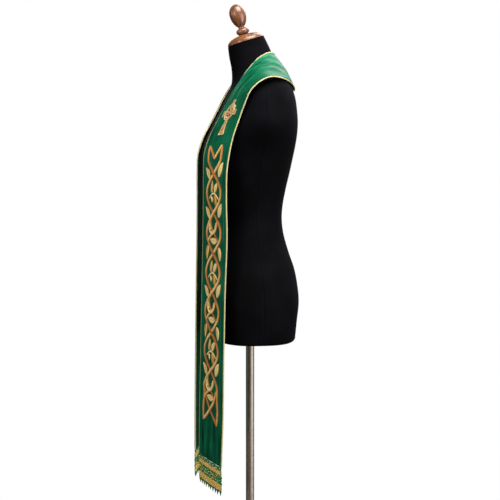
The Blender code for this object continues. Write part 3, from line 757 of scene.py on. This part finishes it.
def turned_piece(name, node, profile, material, slot, body, place=None, segments=96):
    """Spin a profile of (radius, height), outer side running top to bottom."""
    angles = np.linspace(0, 2 * math.pi, segments, endpoint=False)
    radius = np.maximum(np.array([p[0] for p in profile]), 0.00002)[:, None]
    height = np.array([p[1] for p in profile])[:, None] + 0 * angles[None, :]
    points = np.stack([radius * np.cos(angles), radius * np.sin(angles), height], axis=-1)
    if place:
        spun = np.array(place.to_3x3())
        points = points @ spun.T + np.array(place.translation)
    work = Work()
    work.grid(points, ring=True)
    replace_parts(work.finish(name, material, slot, body, sharp=35), node)


def stand():
    """Round plate, collar and pole."""
    half_edge = BASE_EDGE / 2
    seat = BASE_EDGE + BASE_CROWN
    plate = [(0.0, seat), (COLLAR_RADIUS + 0.012, seat)]
    plate += arc((BASE_RADIUS - half_edge, half_edge), (half_edge, half_edge), 90, -90, 16)
    plate += [(0.0, 0.0)]
    turned_piece("base_plate", "base", plate, STEEL_PLATE, "satin_steel", "stand", segments=160)
    hole = POLE_RADIUS + SEAM_GAP
    foot = seat + SEAM_GAP
    edge = 0.0015
    collar = [(hole, foot), (hole, COLLAR_TOP)]
    collar += arc((COLLAR_RADIUS - edge, COLLAR_TOP - edge), (edge, edge), 90, 0, 8)
    collar += [(COLLAR_RADIUS, foot + 0.004), (COLLAR_RADIUS + 0.005, foot), (hole, foot)]
    turned_piece("pole_collar", "collar", collar, STEEL_TUBE, "satin_steel", "stand")
    top = FORM_BOTTOM + SOCKET_DEPTH - SEAM_GAP
    tube = [(0.0, top), (POLE_RADIUS, top)]
    tube += [(POLE_RADIUS, h) for h in np.linspace(top - 0.02, foot, 12)]
    tube += [(0.0, foot)]
    turned_piece("steel_pole", "pole", tube, STEEL_TUBE, "satin_steel", "stand", segments=72)


def neck_cap():
    """The domed cap on the sloping neck and the finial on it."""
    top = FORM_RINGS[0].side
    place = Matrix.Translation((0.0, *top)) @ Matrix.Rotation(NECK_TILT, 4, "X")
    low = SEAM_GAP + 0.0002
    lip = 0.0025
    crown = 14
    dome = [(0.0, lip + (CAP_DOME - lip) * math.cos(math.radians(crown)))]
    dome += arc((0.0, lip), (CAP_RADIUS, CAP_DOME - lip), 90 - crown, 3, 28)
    dome += arc((CAP_RADIUS, (lip + low) / 2), (0.0008, (lip - low) / 2), 90, -90, 8)
    dome += [(0.0, low)]
    turned_piece("wooden_neck_cap", "neck_cap", dome, WOOD, "turned_wood", "form", place)
    foot = dome[0][1] + SEAM_GAP
    bead_height = 0.015
    bead_radius = 0.017
    stem_radius = 0.0085
    knob_low = foot + bead_height + 0.005
    knob_mid = knob_low + KNOB_LENGTH * 0.56
    knob_top = knob_low + KNOB_LENGTH
    profile = [(0.0, knob_top)] + arc((0, knob_mid), (KNOB_RADIUS, knob_top - knob_mid), 88, 0, 26)
    lower = math.degrees(math.acos(stem_radius * 0.95 / KNOB_RADIUS))
    profile += arc((0, knob_mid), (KNOB_RADIUS, knob_mid - knob_low + 0.0025), 0, -lower, 24)[1:]
    bead_top = foot + bead_height
    profile += [(stem_radius * 0.97, bead_top + 0.0030), (stem_radius, bead_top + 0.0015)]
    bead_round = 0.0055
    bead_middle = (bead_radius - bead_round, foot + bead_height * 0.52)
    profile += arc(bead_middle, (bead_round, bead_height * 0.46), 75, -75, 20)
    profile += [(0.0125, foot + 0.0004), (0.0120, foot), (0.0, foot)]
    turned_piece("wooden_finial", "finial", profile, WOOD, "turned_wood", "form", place)


# ---------------------------------------------------------------- the stole
PUFF_FROM_SEAM = 0.0030
PUFF_WIDTH = 0.0022


def seam_roll(from_inner, from_outer):
    """The satin dips into the piping seams and puffs up beside them, most at the neck edge."""
    inner = -0.0006 * bell(from_inner / 0.0008) + 0.0014 * bell((from_inner - PUFF_FROM_SEAM) / PUFF_WIDTH)
    outer = -0.0011 * bell(from_outer / 0.0022) + 0.0004 * bell((from_outer - 0.0065) / 0.0035)
    return inner + outer


def cloth_wall(half, down, t, show_lift, back_lift, tone=0.5):
    """A closed wall of cloth between two heights over the show side of the stole."""
    work = Work(flip=half.side < 0)
    uv = np.stack(np.broadcast_arrays(down, (t - 0.5) * half.width_at(down)), axis=-1)
    show = work.grid(half.at(down, t, show_lift), uv, tone)
    back = work.grid(half.at(down, t, back_lift)[:, ::-1], uv[:, ::-1])[:, ::-1]
    edges = ((show[:, 0], back[:, 0], False), (show[:, -1], back[:, -1], True),
             (show[0], back[0], True), (show[-1], back[-1], False))
    for upper, lower, turn in edges:
        for a, b, c, d in zip(upper, upper[1:], lower[1:], lower):
            work.cap((a, d, c, b), reverse=turn)
    return work


# the fold height that spans the painted shade of the troughs and the painted highlight of the ridges
FULL_FOLD = 0.0085               # from the darkest trough to the lightest ridge
BESIDE = (-0.16, -0.10, -0.05, 0.05, 0.10, 0.16)


def satin_panel(half):
    """One half of the face, a stiffened shell that rolls down into its edge seams."""
    down = np.linspace(0, half.length, 330)[:, None]
    near = np.array([0.0, 0.005, 0.011, 0.018, 0.026, 0.036, 0.050])
    t = np.concatenate([near, np.linspace(0.075, 0.925, 29), 1 - near[::-1]])[None, :]
    width = half.width_at(down)
    roll = seam_roll(t * width, (1 - t) * width)
    hem = -0.0007 * bell((half.length - down) / 0.002)
    # painted shade and painted highlight: a fold is coloured darker or paler by its height and by how far
    # it stands above the cloth around it
    fold = half.read(half.folds, down, t)[..., 0]
    around = sum(half.read(half.folds, down, np.clip(t + step, 0, 1))[..., 0] for step in BESIDE)
    above = fold - around / len(BESIDE)
    # painted highlight: a paler line along the satin's puff beside the neck-edge seam
    puff_highlight = 0.35 * bell((t * width - PUFF_FROM_SEAM) / PUFF_WIDTH)
    tone = np.clip(0.5 + (0.35 * fold + 0.65 * above) / FULL_FOLD + puff_highlight, 0, 1)
    work = cloth_wall(half, down, t, roll + hem, -FACE_THICKNESS, tone)
    return work.finish("satin_%s" % half.label, SATIN, "green_satin", "form", sharp=60)


def lining_panel(half):
    """The lining under the face, a thin wall of its own."""
    down = np.linspace(0, half.length, 190)[:, None]
    t = np.linspace(0, 1, 21)[None, :]
    show_lift = -FACE_THICKNESS - SEAM_GAP
    work = cloth_wall(half, down, t, show_lift, show_lift - LINING_THICKNESS)
    return work.finish("lining_%s_cloth" % half.label, LINING, "dark_lining", "form", sharp=60)


CORD_PULLED_IN = 0.90            # the seam pulls the cord a little thinner
NECK_CORD_DEEPER = 0.0010        # the rolled satin half hides the cord along the neck edge
CORD_STEP = 0.0009


def piping_cord(half, edge, t):
    """Three-ply cord sewn along one edge: t is 0 at the neck edge and 1 at the shoulder edge."""
    down = np.linspace(0.0, half.length, int(half.length / CORD_STEP))
    line = half.read(half.points, down, t)
    inside = half.read(half.points, down, abs(t - 0.02))
    normal = half.read(half.normals, down, t)
    out = unit(line - inside)
    radius = PIPING_RADIUS * CORD_PULLED_IN
    sink = PIPING_SINK - (NECK_CORD_DEEPER if edge == "inner" else 0.0)
    path = line + out * (radius + SEAM_GAP) + normal * sink
    path[:, 0] = np.maximum(path[:, 0], SEAM_GAP * 2)
    work = Work()
    pitch = PIPING_PITCH * half.side
    twisted_cord(work, half.mirrored(path), half.mirrored(normal), radius, pitch, 3, 15)
    piece = work.finish("piping_cord_%s_%s" % (edge, half.label), CORD, "gold_cord", "form")
    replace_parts(piece, "piping_%s_%s" % (edge, half.label))
    return piece


# ---------------------------------------------------------------- embroidery
FIRST_CROSSING = 0.4265
CROSSING_STEP = 0.0991
CROSSINGS = [FIRST_CROSSING + k * CROSSING_STEP for k in range(7)]
VINE_MIDDLE = -0.0005
VINE_REACH = 0.0385
STRAND = 0.0051                  # half the width of a main strand
FINE_STRAND = 0.0035             # of the bands that cross the loops
STITCH_HEIGHT = 0.0022


def near_crossings(down):
    return sum(bell((down - c) / 0.011) for c in CROSSINGS)


def main_strand(sign):
    """Where one main strand lies: it swings from side to side between the crossings."""
    down = np.arange(FIRST_CROSSING - 0.030, CROSSINGS[5] + 0.040, 0.006)
    swing = np.sin(math.pi * (down - FIRST_CROSSING) / CROSSING_STEP)
    over = VINE_MIDDLE + sign * VINE_REACH * swing
    return list(zip(down, over))


def vine(half):
    """Two strands that plait down the panel, horned at the top and knotted at the bottom."""
    work = Work(flip=half.side < 0)

    def over_level(down):
        return 0.0009 * near_crossings(down)

    def under_height(down):
        return STITCH_HEIGHT * (1 - 0.5 * near_crossings(down))

    m = VINE_MIDDLE
    # the horns come down the outside from their tips, and the feet carry on below the plait;
    # each strand starts and ends on the same side
    neck_horn = [(0.358, m - 0.0315), (0.372, m - 0.0335), (0.385, m - 0.0325)]
    shoulder_horn = [(0.358, m + 0.0255), (0.372, m + 0.0300), (0.385, m + 0.0315)]
    neck_foot = [(0.985, m - 0.0345), (1.010, m - 0.0375), (1.035, m - 0.0380), (1.054, m - 0.0375)]
    shoulder_foot = [(0.985, m + 0.0370), (1.010, m + 0.0395), (1.035, m + 0.0400), (1.057, m + 0.0400)]
    stitched_band(work, half, neck_horn + main_strand(1) + neck_foot,
                  STRAND, STITCH_HEIGHT, over_level, start=0.010, end=0.012)
    stitched_band(work, half, shoulder_horn + main_strand(-1) + shoulder_foot,
                  STRAND, under_height, start=0.010, end=0.012)
    # the short inner bands of the horns, from each tip back down to the notch
    stitched_band(work, half, [(0.357, m - 0.0315), (0.366, m - 0.0240), (0.379, m - 0.0110), (0.391, m)],
                  STRAND * 0.85, STITCH_HEIGHT * 0.9, start=0.008, end=0.006)
    stitched_band(work, half, [(0.357, m + 0.0255), (0.366, m + 0.0200), (0.379, m + 0.0100),
                               (0.392, m - 0.001)],
                  STRAND * 0.85, STITCH_HEIGHT * 0.95, 0.0003, start=0.008, end=0.006)
    # the knot at the foot: each outer strand folds back up through the last crossing
    stitched_band(work, half, [(0.968, m + 0.0335), (0.992, m + 0.0245), (CROSSINGS[6], m),
                               (1.040, m - 0.0200), (1.053, m - 0.0370)],
                  STRAND * 0.95, STITCH_HEIGHT, 0.0006, start=0.010, end=0.010)
    stitched_band(work, half, [(0.968, m - 0.0335), (0.992, m - 0.0235), (CROSSINGS[6], m),
                               (1.040, m + 0.0210), (1.056, m + 0.0395)],
                  STRAND * 0.95, STITCH_HEIGHT * 0.8, 0.0, start=0.010, end=0.010)
    for k in (1, 3, 5):
        c = CROSSINGS[k]
        to_shoulder = [(c + 0.013, m - 0.0150), (c + 0.025, m - 0.0150), (c + 0.037, m - 0.0090),
                       (c + 0.0475, m), (c + 0.058, m + 0.0120), (c + 0.073, m + 0.0290)]
        to_neck = [(c + 0.017, m + 0.020), (c + 0.028, m + 0.0180), (c + 0.040, m + 0.0090),
                   (c + 0.050, m - 0.006), (c + 0.060, m - 0.0200), (c + 0.072, m - 0.0320)]
        stitched_band(work, half, to_shoulder, FINE_STRAND, STITCH_HEIGHT * 0.7, start=0.006, end=0.006)
        stitched_band(work, half, to_neck, FINE_STRAND * 1.15, STITCH_HEIGHT * 0.75, 0.0004,
                      start=0.006, end=0.006)
    return work.finish("vine_%s" % half.label, BRONZE, "embroidery_thread", "form")


Leaf = namedtuple("Leaf", "base_down base_over tip_down tip_over breadth tone curl")
OUTSIDE_LEAVES_UP = [
    Leaf(13, -21, -15, -45, 19, 0.80, -2.0),
    Leaf(10, 27, -25, 44, 21, 0.95, 2.0),
]
OUTSIDE_LEAVES_DOWN = [
    Leaf(-21, -27, 18, -36, 18, 0.55, -3.0),
    Leaf(-16, 29, 18, 37, 18, 0.75, 2.0),
]
LOOP_A_LEAVES = [
    Leaf(48, -12, 18, -6, 14, 0.62, -1.5),
    Leaf(48, 5, 23, 21, 17, 0.95, 1.5),
    Leaf(51, 7, 83, 16, 18, 0.36, -2.0),
    Leaf(57, -12, 72, -7, 8, 0.95, 1.0),
]
LOOP_B_LEAVES = [
    Leaf(41, -12, 24, -20, 10, 0.92, -1.0),
    Leaf(38, 8, 27, 16, 8, 0.90, 1.0),
    Leaf(68, 18, 66, -19, 18, 0.95, 2.0),
    Leaf(32, -23, 25, -17, 7, 1.00, 0.0),
    Leaf(41, -20, 35, -12, 7, 1.00, 0.0),
    Leaf(48, -11, 41, -5, 7, 0.95, 0.0),
    Leaf(42, 11, 34, 7, 7, 0.95, 0.0),
    Leaf(31, 17, 24, 11, 7, 1.00, 0.0),
]


def leaves(half):
    """The leaves between and outside the strands, and the fine tendrils that carry them."""
    work = Work(flip=half.side < 0)

    def lay(crossing, table):
        for leaf in table:
            base = (crossing + leaf.base_down * MM, VINE_MIDDLE + leaf.base_over * MM)
            tip = (crossing + leaf.tip_down * MM, VINE_MIDDLE + leaf.tip_over * MM)
            stitched_leaf(work, half, base, tip, leaf.breadth * MM, leaf.tone, leaf.curl * MM)

    def tendril(crossing, path, wide=0.0022, level=0.0, tone=0.85):
        points = [(crossing + d * MM, VINE_MIDDLE + o * MM) for d, o in path]
        stitched_band(work, half, points, wide, 0.0008, level, start=0.004, end=0.004,
                      tone=np.array(tone), spacing=0.0012)

    for k in (0, 1, 3, 5):
        lay(CROSSINGS[k], OUTSIDE_LEAVES_UP)
    for k in (2, 4):
        lay(CROSSINGS[k], OUTSIDE_LEAVES_DOWN)
    for k in (0, 2, 4):
        lay(CROSSINGS[k], LOOP_A_LEAVES)
        tendril(CROSSINGS[k], [(63, -25), (57, -18), (51, -8), (50, 1), (53, 11), (59, 20), (65, 27)])
        tendril(CROSSINGS[k], [(51, 0), (48, -2), (44, -5)], 0.0012)
    for k in (1, 3, 5):
        lay(CROSSINGS[k], LOOP_B_LEAVES)
        tendril(CROSSINGS[k], [(25, -21), (37, -23), (47, -17), (51, -6), (47, 6), (38, 14), (28, 18)],
                0.0025, 0.0014)
        tendril(CROSSINGS[k], [(70, 16), (68, 22), (72, 27)], 0.0013)
    return work.finish("leaves_%s" % half.label, LEAF_GOLD, "embroidery_thread", "form")


CROSS_CENTRE = (0.2703, 0.0005)
WHEEL_RADIUS = 0.0185
WHEEL_BAND = 0.0031
CROSS_ROWS_APART = 0.0015
EDGING_STARTS = 5                # the row of a limb where its edging starts, clear of the middle
# down and over give the way a limb points; widths are (distance from the wheel's centre,
# half width) pairs in millimetres
Limb = namedtuple("Limb", "down over widths")
LIMBS = [
    Limb(-1, 0.12, [(0.0, 4.2), (10.0, 3.9), (20.0, 4.2), (26.0, 5.4), (31.0, 6.4)]),
    Limb(1, 0.0, [(0.0, 4.2), (14.0, 4.0), (26.0, 5.0), (42.0, 7.2), (60.0, 11.8)]),
    Limb(0.1, 1, [(0.0, 4.0), (12.0, 3.9), (20.0, 4.4), (26.0, 5.8), (31.0, 7.2)]),
    Limb(0.1, -1, [(0.0, 4.0), (12.0, 3.9), (20.0, 4.4), (25.0, 5.8), (30.0, 7.2)]),
]


def wheel_cross(half):
    """A cross with a wheel behind its arms, filled in tan and edged with a pale cord."""
    fill = Work(flip=half.side < 0)
    edging = Work(flip=half.side < 0)
    centre = np.array(CROSS_CENTRE)

    def edge(points, width=0.0009):
        stitched_band(edging, half, points, width, 0.0007, 0.0009, tone=np.array(0.9), spacing=0.0012)

    turn = np.linspace(0, 2 * math.pi, 49)
    around = np.stack([np.cos(turn), np.sin(turn)], axis=-1)
    stitched_band(fill, half, centre + around[::-1] * WHEEL_RADIUS, WHEEL_BAND, 0.0008,
                  tone=np.array(0.45), spacing=CROSS_ROWS_APART)
    for radius in (WHEEL_RADIUS - WHEEL_BAND, WHEEL_RADIUS + WHEEL_BAND):
        edge(centre + around[::-1] * radius)
    for limb in LIMBS:
        way = unit(np.array([limb.down, limb.over], float))
        side = np.array([-way[1], way[0]])
        run = np.array([w[0] for w in limb.widths]) * MM
        wide = np.array([w[1] for w in limb.widths]) * MM
        reach = np.linspace(0, run[-1], 24)
        shape = through(wide[:, None], run, reach)[:, 0]
        line = centre + way * reach[:, None]

        def width_along(place, reach=reach, shape=shape):
            return np.interp(place, reach / reach[-1], shape)

        plait = 0.62 + 0.30 * np.sin(reach[:, None] / 0.0027 + 1.5 * SECTION[None, :])
        # one tone for each row of stitches that the band will have
        count = max(4, int(round(run[-1] / CROSS_ROWS_APART)) + 1)
        rows = np.linspace(0, 1, count)
        tone = np.stack([np.interp(rows, reach / reach[-1], column) for column in plait.T], axis=1)
        stitched_band(fill, half, line, width_along, 0.0010, 0.0004, tone=tone,
                      spacing=CROSS_ROWS_APART)
        for hand in (-1, 1):
            edge(line[EDGING_STARTS:] + side * hand * shape[EDGING_STARTS:, None])
        edge(np.linspace(line[-1] - side * shape[-1], line[-1] + side * shape[-1], 8), 0.0011)
    body = fill.finish("cross_%s" % half.label, CROSS_TAN, "embroidery_thread", "form")
    rim = edging.finish("cross_edging_%s" % half.label, CROSS_EDGE, "embroidery_thread", "form")
    return [body, rim]


# ---------------------------------------------------------------- fringe
GOLD_ROWS = (0.0118, 0.0155, 0.0192, 0.0462, 0.0502, 0.0542, 0.0582)
HEADER_STITCHES = 8
TIPS = 10
CORDS_IN_TIP = 5
NET_FROM = 0.021                 # the net hangs between these two depths under the hem
NET_TO = 0.045
NET_FADE = 0.004
NET_KNOTS_APART = 0.0078
NET_SWING = 0.00384              # how far a cord swings aside between two knots
TIPS_GATHER_AT = 0.0590
FLECKS = 84


def fringe(half):
    """A braid header with pale cross stitches, two bands of gold rows, and a green net that
    ends in tips."""
    random = np.random.default_rng(11 if half.side > 0 else 12)
    hem_t = np.linspace(0, 1, 120)
    hem = half.at(half.length, hem_t, -FACE_THICKNESS / 2)
    facing = unit(half.mirrored(half.read(half.normals, half.length, hem_t)) * (1, 1, 0))
    width = float(half.width[-1])

    def place(t, drop, proud):
        """A point under the hem, flared a little as the fringe hangs."""
        t = 0.5 + (t - 0.5) * (1 + 0.02 * drop / FRINGE_LENGTH)
        point = np.stack([np.interp(t, hem_t, hem[:, k]) for k in range(3)], axis=-1)
        spill = (t - np.clip(t, 0, 1))[..., None] * (hem[-1] - hem[0])
        face = np.stack([np.interp(t, hem_t, facing[:, k]) for k in range(3)], axis=-1)
        point = point + spill + face * np.asarray(proud)[..., None]
        point[..., 2] -= drop + SEAM_GAP
        return point, face

    green = Work()
    gold = Work()
    pale = Work()
    across = np.linspace(0.006, 0.994, 150)

    def row(work, drop, radius, pitch, proud, flat=0.75):
        wave = drop + 0.0003 * np.sin(across * 23 + drop * 900)
        path, face = place(across, wave, np.full_like(across, proud))
        twisted_cord(work, path, face, radius, pitch, 3, 12, 0.34, flat)

    # the header: a rolled row at each edge and three plain ones between
    for drop, way in ((0.0012, 1), (0.0095, -1)):
        row(green, drop, 0.0014, 0.006 * way, 0.0006)
    for drop in (0.0036, 0.0052, 0.0070):
        row(green, drop, 0.0013, 0.005, 0.0)
    # pale cross stitches along the header, on both of its sides
    stitch = np.linspace(-1, 1, 9)
    for k in range(HEADER_STITCHES):
        middle = (k + 0.5) / HEADER_STITCHES
        for way in (-1, 1):
            for front_or_back in (-1, 1):
                arch = front_or_back * (0.0014 + 0.0007 * (1 - stitch**2))
                drop = 0.0050 + way * stitch * 0.0018
                path, face = place(middle + stitch * 0.0020 / width, drop, arch)
                twisted_cord(pale, path, face, 0.00075, 0.003, 2, 6, 0.2)
    for k, drop in enumerate(GOLD_ROWS):
        row(gold, drop, 0.0023, 0.0150 * (1 if k % 2 else -1), 0.0001, flat=0.84)

    cords = TIPS * CORDS_IN_TIP
    for j in range(cords):
        group = j // CORDS_IN_TIP
        off_middle = abs(j % CORDS_IN_TIP - CORDS_IN_TIP // 2)
        t0 = (j + 0.5) / cords
        tip_t = (group + 0.5) / TIPS
        if j % CORDS_IN_TIP == 0:
            tip_length = FRINGE_LENGTH - 0.0003 - abs(random.normal(0, 0.0008))
        length = tip_length - 0.0036 * off_middle
        drop = np.linspace(0.010, length, 46)
        net = soft_step((drop - NET_FROM) / NET_FADE) * soft_step((NET_TO - drop) / NET_FADE)
        turn = math.pi * (drop - NET_FROM) / NET_KNOTS_APART
        side = 1 if j % 2 else -1
        gather = soft_step((drop - TIPS_GATHER_AT) / 0.0100)
        t = t0 + side * NET_SWING / width * np.sin(turn) * net + (tip_t - t0) * 0.52 * gather
        proud = side * 0.0007 * np.cos(turn) * net + random.normal(0, 0.0001)
        thinning = 1 - 0.15 * soft_step((drop - 0.0660) / 0.006)
        swell = 0.00140 * thinning * (1 + 0.12 * np.sin(drop * 900 + j))
        path, face = place(t, drop, proud)
        twisted_cord(green, path, face, swell, 0.0066, 2, 8, 0.36)
    # pale flecks caught in the net
    for k in range(FLECKS):
        t = random.uniform(0.02, 0.97)
        drop = random.uniform(0.0225, 0.0425)
        span = np.linspace(-0.0016, 0.0016, 5)
        path, face = place(t + span / width * random.choice([-1, 1]), drop + span,
                           np.full(5, 0.0016 if k % 4 else -0.0016))
        twisted_cord(gold if k % 3 else pale, path, face, 0.0007, 0.003, 2, 6, 0.2)
    pieces = [
        green.finish("fringe_green_%s" % half.label, FRINGE_GREEN, "braid_fringe", "form"),
        gold.finish("fringe_gold_%s" % half.label, FRINGE_GOLD, "braid_fringe", "form"),
        pale.finish("fringe_pale_%s" % half.label, FRINGE_PALE, "braid_fringe", "form"),
    ]
    for piece in pieces:
        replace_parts(piece, "fringe_%s" % half.label)
    return pieces


# ---------------------------------------------------------------- all the pieces
stand()
neck_cap()
cover = jersey_cover()
for label, side in (("left", 1), ("right", -1)):
    half = StoleHalf(label, side)
    face = satin_panel(half)
    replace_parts(face, "stole_" + label)
    back = lining_panel(half)
    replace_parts(back, "lining_" + label)
    trims = [piping_cord(half, "inner", 0.0), piping_cord(half, "outer", 1.0), vine(half), leaves(half)]
    trims += wheel_cross(half)
    trims += fringe(half)


# ---------------------------------------------------------------- floor, light, camera
def paper_floor():
    """A pale paper disc that fades into the white around it."""
    mesh = bpy.data.meshes.new("paper_floor")
    turn = np.linspace(0, 2 * math.pi, 96, endpoint=False)
    mesh.from_pydata([(1.7 * math.cos(a), 1.7 * math.sin(a), 0.0) for a in turn], [], [list(range(96))])
    disc = bpy.data.objects.new("paper_floor", mesh)
    bpy.context.scene.collection.objects.link(disc)
    material, tree = new_finish("white_paper")
    place = add(tree, "TexCoord").outputs["Object"]
    reach = add(tree, "VectorMath", {"operation": "LENGTH"}, {0: place})
    fade = add(tree, "MapRange", {"interpolation_type": "SMOOTHSTEP", "From Min": 0.25, "From Max": 1.15},
               {"Value": reach.outputs["Value"]})
    paper = add(tree, "BsdfDiffuse", {"Color": linear("#f0f0f0")})
    glow = add(tree, "Emission", {"Color": (1, 1, 1, 1), "Strength": 1.0})
    mix = add(tree, "MixShader", {}, {"Fac": fade.outputs[0], 1: paper.outputs[0], 2: glow.outputs[0]})
    add(tree, "OutputMaterial", {}, {"Surface": mix.outputs[0]})
    mesh.materials.append(material)
    disc.visible_diffuse = False
    disc.visible_glossy = False


ROOM_GLOW = 0.02                 # the white room as a light, against 1 as the camera sees it
Lamp = namedtuple("Lamp", "name place aim size power")
LAMPS = [
    Lamp("top softbox", (1.0, 0.3, 3.2), (0.0, 0.0, 1.3), (1.8, 1.8), 134.0),
    Lamp("rear top softbox", (-1.5, 1.3, 2.9), (0.0, 0.0, 1.3), (2.0, 1.8), 40.0),
    Lamp("front softbox", (1.9, -2.3, 1.6), (0.0, -0.05, 1.0), (0.9, 1.4), 33.0),
    Lamp("side softbox", (1.9, 2.2, 0.9), (0.0, 0.0, 0.7), (1.7, 2.6), 72.0),
    Lamp("far fill", (-2.9, 0.1, 1.4), (0.0, 0.0, 1.0), (1.8, 1.8), 26.0),
    Lamp("front fill", (0.2, -3.4, 1.5), (0.0, 0.0, 0.9), (1.6, 1.6), 15.0),
]


def studio():
    """The white room, its lamps and the camera."""
    scene = bpy.context.scene
    world = bpy.data.worlds.new("white_room")
    world.use_nodes = True
    scene.world = world
    back = world.node_tree.nodes["Background"]
    back.inputs["Color"].default_value = (1, 1, 1, 1)
    # white behind the object, but only a dim glow as a light, so the lamps do the shaping
    tree = world.node_tree
    seen = add(tree, "LightPath")
    strength = add(tree, "MapRange", {"To Min": ROOM_GLOW, "To Max": 1.0},
                   {"Value": seen.outputs["Is Camera Ray"]})
    tree.links.new(strength.outputs[0], back.inputs["Strength"])
    for lamp in LAMPS:
        light = bpy.data.lights.new(lamp.name, "AREA")
        light.shape = "RECTANGLE"
        light.size, light.size_y = lamp.size
        light.energy = lamp.power
        item = bpy.data.objects.new(lamp.name, light)
        item.location = lamp.place
        aim = Vector(lamp.aim) - Vector(lamp.place)
        item.rotation_euler = aim.to_track_quat("-Z", "Y").to_euler()
        scene.collection.objects.link(item)
    scene.view_settings.view_transform = "Standard"
    lens = bpy.data.cameras.new("camera")
    lens.lens = 80.63
    lens.sensor_width = 36.0
    camera = bpy.data.objects.new("camera", lens)
    camera.location = (2.864, -0.4537, 1.206)
    camera.rotation_euler = (math.radians(84.877), 0.0, math.radians(81.0))
    scene.collection.objects.link(camera)
    scene.camera = camera


paper_floor()
studio()
